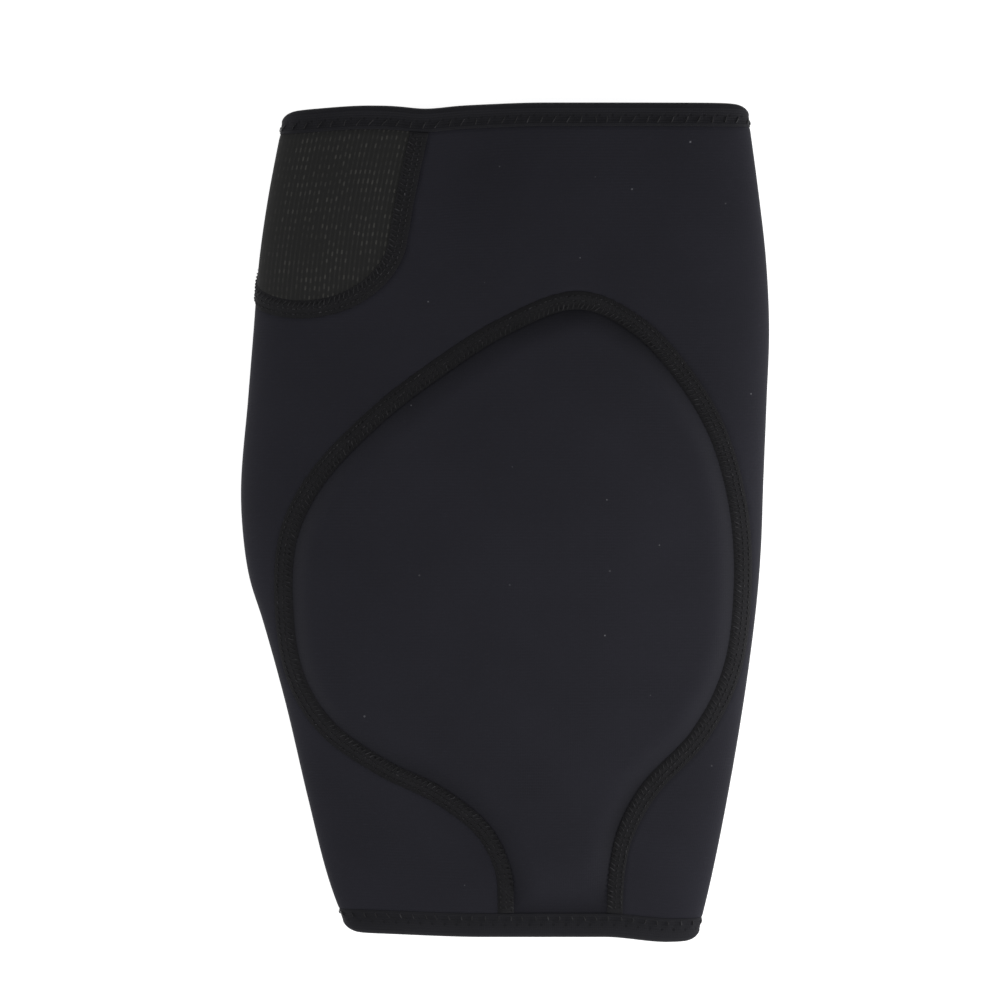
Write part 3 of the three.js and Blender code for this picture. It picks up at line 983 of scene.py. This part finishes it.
def even_sides(step, front):
    """Sides from the left fold to the right one, evenly spaced along the cloth at the knee"""
    side = -np.cos(np.linspace(0, math.pi, SIDE_STEPS))
    lengths = path_lengths(leg_point(side, 0.0, 0.0, front))
    return np.interp(np.linspace(0, lengths[-1], round(lengths[-1] / step) + 1), lengths, side)


def leg_columns(front_step, back_step):
    """Sides and faces of the columns of a loop round the leg, over the front and back under it"""
    over = even_sides(front_step, True)[:-1]
    under = even_sides(back_step, False)[:0:-1]
    side = np.concatenate((over, under))
    front = np.arange(len(side)) < len(over)
    return side, front


def loop_lengths(loops):
    """Lengths walked round each closed loop of points"""
    steps = np.linalg.norm(np.roll(loops, -1, axis=1) - loops, axis=2)
    return np.hstack((np.zeros((len(loops), 1)), np.cumsum(steps, axis=1)))


def lengths_from_fold(lengths, side, front):
    """Lengths from the left fold, positive over the front and negative under the back's left half"""
    return np.where(~front & (side < 0), lengths[:, :-1] - lengths[:, -1:], lengths[:, :-1])


def half_seam(y, sizes):
    """Half the width of a seam band, which narrows on the pad's neck"""
    return sizes.seam_width / MM / 2 * (1 - NECK_NARROWING * smoothstep(-y, NECK_START, NECK_END))


def seam_bed(distance, y, sizes):
    """Depth of the bed that a seam band lies in, which the cloth leaves under the band's edge"""
    edge = half_seam(y, sizes)
    return SEAM_BED * (1 - smoothstep(distance, edge - BED_EDGE, edge))


def hem_dip(y):
    """Depth to which the cloth is pulled down along a binding and squeezed under it"""
    stations = [SEAM_END - HEM_DIP_RUN, SEAM_END, HEM_LINE + HEM_TUCK]
    return np.interp(np.abs(y), stations, [0, HEM_DIP, SQUEEZE_DEPTH])


def wall_depth(y, sizes):
    """Depth of the inner face of the cloth, less where a binding squeezes it"""
    squeezed = np.interp(np.abs(y), [SEAM_END, HEM_LINE + HEM_TUCK], [0, 1])
    return sizes.wall / MM + (SQUEEZE_DEPTH + SQUEEZED_WALL - sizes.wall / MM) * squeezed


class KNEESLEEVE_OT_sleeve(bpy.types.Operator):
    """Neoprene tube round the leg, open where the pad and the patch are sewn in"""

    bl_idname = "kneesleeve.sleeve"
    bl_label = "Sleeve"

    def execute(self, context):
        sizes = context.scene.knee_sleeve_sizes
        side, front = leg_columns(FRONT_STEP, BACK_STEP)
        end = HALF_LENGTH - HEM_RADIUS
        tuck = HEM_LINE + HEM_TUCK
        edge = SEAM_END - HEM_DIP_RUN
        body = np.linspace(-edge, edge, round(2 * edge / ROW_STEP) + 1)
        y = np.concatenate(([-end, -tuck, -SEAM_END], body, [SEAM_END, tuck, end]))[:, None]
        lengths = loop_lengths(leg_point(side, y, 0.0, front))
        round_leg = lengths_from_fold(lengths, side, front)
        x = middle_of(y) + half_width_of(y) * side
        stations = np.broadcast_to(y, x.shape)
        pad_spots = np.stack((x, stations), axis=-1)
        patch_spots = np.stack((round_leg, stations), axis=-1)
        to_pad = np.where(front, distance_to(PAD_PATH, pad_spots), np.inf)
        to_patch = distance_to(PATCH_PATH, patch_spots)
        beds = np.maximum(seam_bed(to_pad, y, sizes), seam_bed(to_patch, y, sizes))
        outer = leg_point(side, y, np.maximum(beds, hem_dip(y)), front)
        inner = leg_point(side, y, wall_depth(y, sizes), front)
        in_pad = lies_inside(run_on(PAD_PATH, CUT_PAST), pad_spots) & front
        in_patch = lies_inside(run_on(PATCH_PATH, CUT_PAST), patch_spots)
        rows, columns = x.shape
        quads = grid_faces(rows, columns, closed=True)
        opened = (in_pad | in_patch).ravel()
        quads = quads[~opened[quads].any(axis=1)]
        points, faces = shell(outer.reshape(-1, 3), inner.reshape(-1, 3), quads)
        spots = np.tile(patch_spots.reshape(-1, 2), (2, 1))
        girths = np.tile(np.repeat(lengths[:, -1], columns), 2)
        used, faces = np.unique(faces, return_inverse=True)
        sleeve = new_piece("sleeve_cloth", points[used], faces.reshape(-1, 4), spots[used], girths[used])
        colours = context.scene.knee_sleeve_colours
        sleeve.data.materials.append(jersey_material("neoprene jersey", colours.neoprene, sizes, colours))
        seat(sleeve, "sleeve")
        area = face_area(outer.reshape(-1, 3), quads)
        return {"FINISHED"}


def panel_spots(path, rows, columns):
    """Grid over a panel: rows run across from one side of its seam to the other, up to its tip,
    after a first row that lies under the binding"""
    outline = moved_sideways(spaced(path, 2 * rows), -GAP / 2)
    start, end = outline[:rows, None], outline[::-1][:rows, None]
    even = np.linspace(0, 1, columns)
    share = EVEN_SHARE * even + (1 - EVEN_SHARE) * (1 - np.cos(math.pi * even)) / 2
    spots = start + (end - start) * share[:, None]
    under_hem = spots[:1].copy()
    under_hem[..., 1] = np.sign(path[0, 1]) * (HEM_LINE + HEM_TUCK)
    return np.vstack((under_hem, spots))


def swelling(points, normals, quads, held, most):
    """How far a filling pushes each point of a face out, as cloth under pressure held at its edge"""
    cloth = new_piece("swelling_face", points, quads)
    scene = bpy.context.scene
    group = cloth.vertex_groups.new(name="sewn")
    group.add(np.flatnonzero(held).tolist(), 1.0, "REPLACE")
    modifier = cloth.modifiers.new("swell", "CLOTH")
    for name, value in SWELL_CLOTH.items():
        setattr(modifier.settings, name, value)
    modifier.settings.vertex_group_mass = group.name
    modifier.settings.effector_weights.gravity = 0
    modifier.collision_settings.use_collision = False
    modifier.collision_settings.use_self_collision = False
    modifier.point_cache.frame_start = 1
    modifier.point_cache.frame_end = SWELL_FRAMES
    for step in range(1, SWELL_FRAMES + 1):
        scene.frame_set(step)
    pushed = cloth.evaluated_get(bpy.context.evaluated_depsgraph_get())
    move = mesh_points(pushed.data) / MM - points
    scene.frame_set(1)
    discard(cloth)
    return np.clip((move * normals).sum(axis=1), 0, most)


def evened(values, rounds):
    """A grid of values with its creases smoothed out by averaging neighbours"""
    for _ in range(rounds):
        wide = np.pad(values, 1, mode="edge")
        values = (wide[:-2, 1:-1] + wide[2:, 1:-1] + wide[1:-1, :-2] + wide[1:-1, 2:]) / 4
    return values


class KNEESLEEVE_OT_pad(bpy.types.Operator):
    """Foam pad under a jersey face, swollen like a cushion between its seams"""

    bl_idname = "kneesleeve.pad"
    bl_label = "Knee Pad"

    def execute(self, context):
        sizes = context.scene.knee_sleeve_sizes
        spots = panel_spots(PAD_PATH, PAD_ROWS, PAD_COLUMNS)
        x, y = spots[..., 0], spots[..., 1]
        to_seam = distance_to(PAD_PATH, spots)
        inside = to_seam - half_seam(y, sizes)
        taper = smoothstep(y + HEM_LINE, 0, PAD_TAPER_RUN)
        shoulder_share = np.clip(inside / PAD_SHOULDER_RUN, 0, 1)
        shoulder = sizes.pad_shoulder / MM * (1 - (1 - shoulder_share) ** PAD_SHOULDER_POWER)
        crown = evened(sizes.pad_crown / MM * smoothstep(inside, 0, PAD_CROWN_RUN), SWELL_EVENING)
        swell_share = smoothstep(inside, 0, PAD_HOLD)
        bed = np.maximum(seam_bed(to_seam, y, sizes), hem_dip(y))
        normal = front_normal(x, y)
        outer = front_point(x, y, bed) + normal * ((shoulder + crown * swell_share) * taper)[..., None]
        inner = front_point(x, y, wall_depth(y, sizes))
        rows, columns = x.shape
        quads = grid_faces(rows, columns)
        outer = outer.reshape(-1, 3)
        held = ((inside < HELD_EDGE) | (y < HELD_NECK - SEAM_END)).ravel()
        push = swelling(outer, normal.reshape(-1, 3), quads, held, sizes.pad_swell / MM)
        push = evened(push.reshape(rows, columns), SWELL_EVENING) * swell_share
        outer = outer + (normal * push[..., None]).reshape(-1, 3)
        points, faces = shell(outer, inner.reshape(-1, 3), quads)
        pad = new_piece("knee_pad_cushion", points, faces, np.tile(spots.reshape(-1, 2), (2, 1)))
        # Painted shade: values that darken the pad's jersey next to its seam and its calf end, more at the
        # darker spots
        to_edge = np.minimum(inside / SEAM_SHADE_RUN, (y + SEAM_END) / HEM_SHADE_RUN)
        spot_shade = 1 + sum(
            spot.extra * bump(np.hypot(x - spot.x, y - spot.y), spot.run) for spot in DARKER_SHADE_SPOTS
        )
        painted_shade = spot_shade * (1 - np.clip(to_edge, 0, 1)) ** SEAM_SHADE_POWER
        painted_shade_layer = pad.data.attributes.new(SEAM_SHADE_VALUES, "FLOAT", "POINT")
        painted_shade_layer.data.foreach_set("value", np.tile(painted_shade.ravel(), 2))
        smooth = pad.modifiers.new("smooth", "SUBSURF")
        smooth.levels = smooth.render_levels = 1
        colours = context.scene.knee_sleeve_colours
        pad.data.materials.append(jersey_material("pad jersey", colours.pad, sizes, colours))
        seat(pad, "knee_pad")
        return {"FINISHED"}


class KNEESLEEVE_OT_patch(bpy.types.Operator):
    """Mesh patch that turns round the left fold under the thigh hem"""

    bl_idname = "kneesleeve.patch"
    bl_label = "Side Patch"

    def execute(self, context):
        sizes = context.scene.knee_sleeve_sizes
        spots = panel_spots(PATCH_PATH, PATCH_ROWS, PATCH_COLUMNS)
        length, y = spots[..., 0], spots[..., 1]
        bed = np.maximum(seam_bed(distance_to(PATCH_PATH, spots), y, sizes), hem_dip(y))
        outer = fold_point(length, y, bed).reshape(-1, 3)
        inner = fold_point(length, y, wall_depth(y, sizes)).reshape(-1, 3)
        quads = grid_faces(*length.shape)
        points, faces = shell(outer, inner, quads)
        patch = new_piece("side_patch_mesh", points, faces, np.tile(spots.reshape(-1, 2), (2, 1)))
        colours = context.scene.knee_sleeve_colours
        patch.data.materials.append(mesh_material("warp-knit mesh", sizes, colours))
        seat(patch, "side_patch")
        return {"FINISHED"}


def band_profile(sizes):
    """Corners of a seam band: share of its half width and depth, over the top and back below"""
    rising = np.array(BAND_SHARES)
    across = np.concatenate((rising[::-1], -rising[1:]))
    top = -sizes.seam_proud / MM * (1 - across**BAND_POWER)
    under_edge = [[BAND_UNDER_SHARE, SEAM_SINK], [1, BAND_EDGE_DEPTH]]
    under = [[-share, depth] for share, depth in under_edge[::-1]] + under_edge
    return np.vstack((np.column_stack((across, top)), under))


def seam_band(name, path, place, sizes):
    """Closed band along a seam up to the binding, with its run and its width as flat cloth positions"""
    path = run_on(path, GAP - BAND_GAP)
    count = round(path_lengths(path)[-1] / SEAM_STEP)
    path = spaced(path, count)
    profile = band_profile(sizes)
    across = half_seam(path[:, 1:], sizes) * profile[:, 0]
    spots = path[:, None] + left_normals(path)[:, None] * across[..., None]
    points = place(spots[..., 0], spots[..., 1], np.broadcast_to(profile[:, 1], across.shape))
    around = len(profile)
    quads = grid_faces(count, around, closed=True)
    caps = [range(around)[::-1], range((count - 1) * around, count * around)]
    run = np.broadcast_to(path_lengths(path)[:, None], across.shape)
    flat = np.stack((run, across), axis=-1)
    return new_piece(name, points.reshape(-1, 3), [*quads, *caps], flat.reshape(-1, 2))


class KNEESLEEVE_OT_seams(bpy.types.Operator):
    """Flat-lock seam bands round the pad and round the patch"""

    bl_idname = "kneesleeve.seams"
    bl_label = "Seams"

    def execute(self, context):
        sizes = context.scene.knee_sleeve_sizes
        material = seam_material("flat-lock seam", sizes, context.scene.knee_sleeve_colours)
        seams = (("pad_seam", PAD_PATH, front_point), ("patch_seam", PATCH_PATH, fold_point))
        for node, path, place in seams:
            band = seam_band(node + "_band", path, place, sizes)
            band.data.materials.append(material)
            seat(band, node)
        return {"FINISHED"}


def hem_nose(radius, steps):
    """Half circle of a binding's nose, from the outer layer to the inner one"""
    angle = np.pi * (0.5 - np.arange(steps + 1) / steps)
    run = HEM_WIDTH - HEM_RADIUS + radius * np.cos(angle)
    depth = HEM_INNER_DEPTH - HEM_RADIUS - radius * np.sin(angle)
    return np.column_stack((run, depth))


def hem_profile():
    """Corners of a binding: run from its edge towards the end of the leg, and depth"""
    face = [*TAPE_EDGE, *((run, -TAPE_RISE) for run in TAPE_RUNS)]
    back = [(HEM_INNER_RUN, HEM_INNER_DEPTH), (0, HEM_INNER_DEPTH), (0, HEM_INNER_DEPTH - TAPE)]
    inside = hem_nose(HEM_RADIUS - TAPE, INNER_NOSE_STEPS)[::-1]
    return np.vstack((face, hem_nose(HEM_RADIUS, NOSE_STEPS), back, inside, [(0, TAPE - TAPE_PROUD)]))


def hem_pucker(run, length, pitch):
    """How deep the stitches draw a binding in along their row"""
    row = bump(run - PUCKER_ROW, PUCKER_RUN)
    return row * (PUCKER_DEPTH - PUCKER_WAVE * np.cos(math.tau * length / pitch))


class KNEESLEEVE_OT_hems(bpy.types.Operator):
    """Bindings folded over the thigh end and the calf end"""

    bl_idname = "kneesleeve.hems"
    bl_label = "Bindings"

    def execute(self, context):
        sizes = context.scene.knee_sleeve_sizes
        colours = context.scene.knee_sleeve_colours
        side, front = leg_columns(HEM_STEP, HEM_STEP)
        profile = hem_profile()
        hems = (("top_hem", 1, sizes.thigh_stitch), ("bottom_hem", -1, sizes.calf_stitch))
        for node, direction, stitch in hems:
            lengths = loop_lengths(leg_point(side, np.array([[direction * HEM_LINE]]), 0.0, front))
            run, depth = profile[:, :1], profile[:, 1:]
            on_face = np.arange(len(run))[:, None] < FACE_CORNERS
            pucker = np.where(on_face, hem_pucker(run, lengths[:, :-1], stitch / MM), 0)
            points = leg_point(side, direction * (HEM_LINE + run), depth + pucker * front, front)
            loops, columns = points.shape[:2]
            quads = grid_faces(loops + 1, columns, closed=True) % (loops * columns)
            walked = path_lengths(profile)
            round_leg = lengths_from_fold(lengths, side, front)
            flat = np.stack(np.broadcast_arrays(round_leg, walked[:, None]), axis=-1).reshape(-1, 2)
            girths = np.full(len(flat), lengths[0, -1])
            hem = new_piece(node + "_binding", points.reshape(-1, 3), quads, flat, girths)
            hem.data.materials.append(binding_material(node + " tape", stitch, colours))
            seat(hem, node)
        return {"FINISHED"}


def build_stitches(name):
    """Short arched threads laid on points: run is their direction, up the cloth's outward side"""
    tree = bpy.data.node_groups.new(name, "GeometryNodeTree")
    for socket, kind in (
        ("Spots", "NodeSocketGeometry"),
        ("Thread Radius", "NodeSocketFloat"),
        ("Arch", "NodeSocketFloat"),
        ("Finish", "NodeSocketMaterial"),
    ):
        tree.interface.new_socket(socket, in_out="INPUT", socket_type=kind)
    tree.interface.new_socket("Stitches", in_out="OUTPUT", socket_type="NodeSocketGeometry")
    desk = Desk(tree)
    start = desk.add("NodeGroupInput").outputs
    top = desk.add("ShaderNodeCombineXYZ", {"Z": desk.times(start["Arch"], 2.0)})
    bow = {"Resolution": ARCH_STEPS, "Start": (-0.5, 0, 0), "Middle": top.outputs[0], "End": (0.5, 0, 0)}
    arch = desk.add("GeometryNodeCurveQuadraticBezier", bow)
    round_thread = {"Resolution": THREAD_SIDES, "Radius": start["Thread Radius"]}
    section = desk.add("GeometryNodeCurvePrimitiveCircle", round_thread)
    tube = desk.add(
        "GeometryNodeCurveToMesh",
        {"Curve": arch.outputs[0], "Profile Curve": section.outputs[0], "Fill Caps": True},
    )
    named = {}
    for attribute, kind in (("run", "FLOAT_VECTOR"), ("up", "FLOAT_VECTOR"), ("reach", "FLOAT")):
        node = desk.add("GeometryNodeInputNamedAttribute", data_type=kind)
        node.inputs["Name"].default_value = attribute
        named[attribute] = node.outputs["Attribute"]
    turn = desk.add("FunctionNodeAxesToRotation", primary_axis="X", secondary_axis="Z")
    desk.feed(turn.inputs[0], named["run"])
    desk.feed(turn.inputs[1], named["up"])
    stretch = desk.add("ShaderNodeCombineXYZ", {"X": named["reach"], "Y": 1.0, "Z": 1.0})
    laid = desk.add(
        "GeometryNodeInstanceOnPoints",
        {
            "Points": start["Spots"],
            "Instance": tube.outputs[0],
            "Rotation": turn.outputs[0],
            "Scale": stretch.outputs[0],
        },
    )
    real = desk.add("GeometryNodeRealizeInstances", {"Geometry": laid.outputs[0]})
    soft = desk.add("GeometryNodeSetShadeSmooth", {0: real.outputs[0]})
    dyed = desk.add("GeometryNodeSetMaterial", {"Geometry": soft.outputs[0], "Material": start["Finish"]})
    desk.feed(desk.add("NodeGroupOutput").inputs[0], dyed.outputs[0])
    return tree


def sewn(name, starts, ends, ups, sizes, material):
    """Piece of arched threads from each start to its end, in millimetres"""
    spots = new_piece(name + "_spots", (starts + ends) / 2, [])
    for attribute, kind, values in (
        ("run", "FLOAT_VECTOR", unit(ends - starts)),
        ("up", "FLOAT_VECTOR", unit(ups)),
        ("reach", "FLOAT", np.linalg.norm(ends - starts, axis=1) * MM),
    ):
        field = "vector" if kind == "FLOAT_VECTOR" else "value"
        spots.data.attributes.new(attribute, kind, "POINT").data.foreach_set(field, values.ravel())
    tree = bpy.data.node_groups.get(STITCH_TREE) or build_stitches(STITCH_TREE)
    modifier = spots.modifiers.new("stitches", "NODES")
    modifier.node_group = tree
    sockets = tree.interface.items_tree
    inputs = {item.name: item.identifier for item in sockets if item.in_out == "INPUT"}
    modifier[inputs["Thread Radius"]] = sizes.thread_radius
    modifier[inputs["Arch"]] = sizes.thread_radius * ARCH_SHARE
    modifier[inputs["Finish"]] = material
    view = bpy.context.evaluated_depsgraph_get()
    mesh = bpy.data.meshes.new_from_object(spots.evaluated_get(view), depsgraph=view)
    mesh.name = name
    stitches = bpy.data.objects.new(name, mesh)
    bpy.context.scene.collection.objects.link(stitches)
    discard(spots)
    return stitches


def along(path, length, across):
    """Spots at lengths along a path and distances across it"""
    lengths = path_lengths(path)
    normals = left_normals(path)
    spot = np.column_stack([np.interp(length, lengths, column) for column in path.T])
    normal = np.column_stack([np.interp(length, lengths, column) for column in normals.T])
    return spot + unit(normal) * np.asarray(across)[:, None]


def seam_threads(path, place, pitch, shake):
    """Starts, ends and outward sides of a flat-lock's threads, one row of them after another"""
    path = spaced(path, 2 * round(path_lengths(path)[-1]))
    count = int(path_lengths(path)[-1] / pitch) - 1
    centre = (np.arange(count) + 1) * pitch

    def laid(spots, depth):
        return place(spots[:, 0], spots[:, 1], np.full(count, depth))

    starts, ends, ups = [], [], []
    for leg in SEAM_LEGS:
        row = NEEDLE_ROWS[leg.row]
        slip = shake.normal(0, SEAM_SLIP, (4, count))
        a = along(path, centre + (leg.start + slip[0]) * pitch, row + leg.start_across + slip[1])
        b = along(path, centre + (leg.end + slip[2]) * pitch, row + leg.end_across + slip[3])
        half_way = (a + b) / 2
        starts.append(laid(a, SEAM_THREAD_DEPTH))
        ends.append(laid(b, SEAM_THREAD_DEPTH))
        over = laid(half_way, SEAM_THREAD_DEPTH - SEAM_PROBE)
        ups.append(over - laid(half_way, SEAM_THREAD_DEPTH + SEAM_PROBE))
    return np.vstack(starts), np.vstack(ends), np.vstack(ups)


def hem_threads(direction, pitch, stitch, thread, shake):
    """Starts, ends and outward sides of a binding's stitches, each from a low run to a high one"""
    side, front = leg_columns(THREAD_STEP, THREAD_STEP)
    lengths = loop_lengths(leg_point(side, np.array([[direction * HEM_LINE]]), 0.0, front))[0]
    count = int(lengths[-1] / pitch)
    first = np.arange(count) * pitch

    def on_hem(length, run, depth):
        loop = leg_point(side, np.array([[direction * (HEM_LINE + run)]]), depth, front)[0]
        loop = np.vstack((loop, loop[:1]))
        loop[:, 2] = np.maximum(loop[:, 2], thread)
        length = length % lengths[-1]
        return np.column_stack([np.interp(length, lengths, column) for column in loop.T])

    slip = shake.normal(0, HEM_SLIP * pitch, (2, count))
    starts = on_hem(first + slip[0], stitch.low, HEM_THREAD_DEPTH)
    ends = on_hem(first + stitch.lean + slip[1], stitch.high, HEM_THREAD_DEPTH)
    half_way = first + stitch.lean / 2
    middle = (stitch.low + stitch.high) / 2
    above = on_hem(half_way, middle, HEM_THREAD_DEPTH - HEM_PROBE_OVER)
    below = on_hem(half_way, middle, HEM_THREAD_DEPTH + HEM_PROBE_UNDER)
    return starts, ends, above - below


class KNEESLEEVE_OT_stitches(bpy.types.Operator):
    """Threads of the seams and of the bindings"""

    bl_idname = "kneesleeve.stitches"
    bl_label = "Stitches"

    def execute(self, context):
        sizes = context.scene.knee_sleeve_sizes
        material = thread_material("sewing thread", context.scene.knee_sleeve_colours)
        shake = np.random.default_rng(SEWING_SEED)
        seam = sizes.seam_stitch / MM
        thread = sizes.thread_radius / MM
        threads = {
            "pad_seam_stitches": seam_threads(PAD_PATH, front_point, seam, shake),
            "patch_seam_stitches": seam_threads(PATCH_PATH, fold_point, seam, shake),
            "top_hem_stitches": hem_threads(1, sizes.thigh_stitch / MM, THIGH_STITCH, thread, shake),
            "bottom_hem_stitches": hem_threads(-1, sizes.calf_stitch / MM, CALF_STITCH, thread, shake),
        }
        for name, (starts, ends, ups) in threads.items():
            stitches = sewn(name, starts, ends, ups, sizes, material)
            seat(stitches)
        return {"FINISHED"}


class KNEESLEEVE_OT_stage(bpy.types.Operator):
    """Pale floor, soft studio light and the camera over the sleeve"""

    bl_idname = "kneesleeve.stage"
    bl_label = "Stage"

    def execute(self, context):
        scene = context.scene
        corners = np.array([[-1, -1, 0], [1, -1, 0], [1, 1, 0], [-1, 1, 0]]) * FLOOR_REACH
        floor = new_piece("floor", corners - [0, 0, FLOOR_DROP], [[0, 1, 2, 3]])
        floor.data.materials.append(floor_material("studio floor", scene.knee_sleeve_colours))
        floor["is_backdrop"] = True
        world = bpy.data.worlds.new("studio")
        world.use_nodes = True
        sky = world.node_tree.nodes["Background"]
        sky.inputs["Color"].default_value = WHITE
        sky.inputs["Strength"].default_value = SKY_STRENGTH
        scene.world = world
        for lamp in LAMPS:
            glow = bpy.data.lights.new(lamp.name, "AREA")
            glow.energy = lamp.power
            glow.size = lamp.size
            light = bpy.data.objects.new(lamp.name, glow)
            light.location = lamp.place
            aim = -light.location
            light.rotation_euler = aim.to_track_quat("-Z", "Y").to_euler()
            light.visible_camera = False
            scene.collection.objects.link(light)
        camera = bpy.data.objects.new("camera", bpy.data.cameras.new("camera"))
        camera.data.lens = LENS
        camera.data.sensor_width = SENSOR
        camera.data.clip_end = VIEW_END
        camera.location = (*VIEW_MIDDLE, VIEW_LEVEL + VIEW_WIDTH * LENS / SENSOR)
        scene.collection.objects.link(camera)
        scene.camera = camera
        scene.view_settings.view_transform = "Standard"
        return {"FINISHED"}


PIECE_OPERATORS = (
    KNEESLEEVE_OT_sleeve,
    KNEESLEEVE_OT_pad,
    KNEESLEEVE_OT_patch,
    KNEESLEEVE_OT_seams,
    KNEESLEEVE_OT_hems,
    KNEESLEEVE_OT_stitches,
    KNEESLEEVE_OT_stage,
)


class KNEESLEEVE_PT_panel(bpy.types.Panel):
    """Lists the sleeve's pieces, sizes and colours in the sidebar"""

    bl_label = "Knee Sleeve"
    bl_idname = "KNEESLEEVE_PT_panel"
    bl_space_type = "VIEW_3D"
    bl_region_type = "UI"
    bl_category = "Knee Sleeve"

    def draw(self, context):
        layout = self.layout
        for operator in PIECE_OPERATORS:
            layout.operator(operator.bl_idname)
        for settings in (context.scene.knee_sleeve_sizes, context.scene.knee_sleeve_colours):
            box = layout.box()
            for name in settings.__annotations__:
                box.prop(settings, name)


CLASSES = (KneeSleeveSizes, KneeSleeveColours, *PIECE_OPERATORS, KNEESLEEVE_PT_panel)


def register():
    for item in CLASSES:
        bpy.utils.register_class(item)
    bpy.types.Scene.knee_sleeve_sizes = PointerProperty(type=KneeSleeveSizes)
    bpy.types.Scene.knee_sleeve_colours = PointerProperty(type=KneeSleeveColours)


def unregister():
    del bpy.types.Scene.knee_sleeve_colours
    del bpy.types.Scene.knee_sleeve_sizes
    for item in reversed(CLASSES):
        bpy.utils.unregister_class(item)


def main():
    register()
    bpy.ops.kneesleeve.sleeve()
    bpy.ops.kneesleeve.pad()
    bpy.ops.kneesleeve.patch()
    bpy.ops.kneesleeve.seams()
    bpy.ops.kneesleeve.hems()
    bpy.ops.kneesleeve.stitches()
    bpy.ops.kneesleeve.stage()
    boxes = {"cad": CAD_BOX, "visual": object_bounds()}
    {name: [list(corner) for corner in box] for name, box in boxes.items()}


if __name__ == "__main__":
    main()
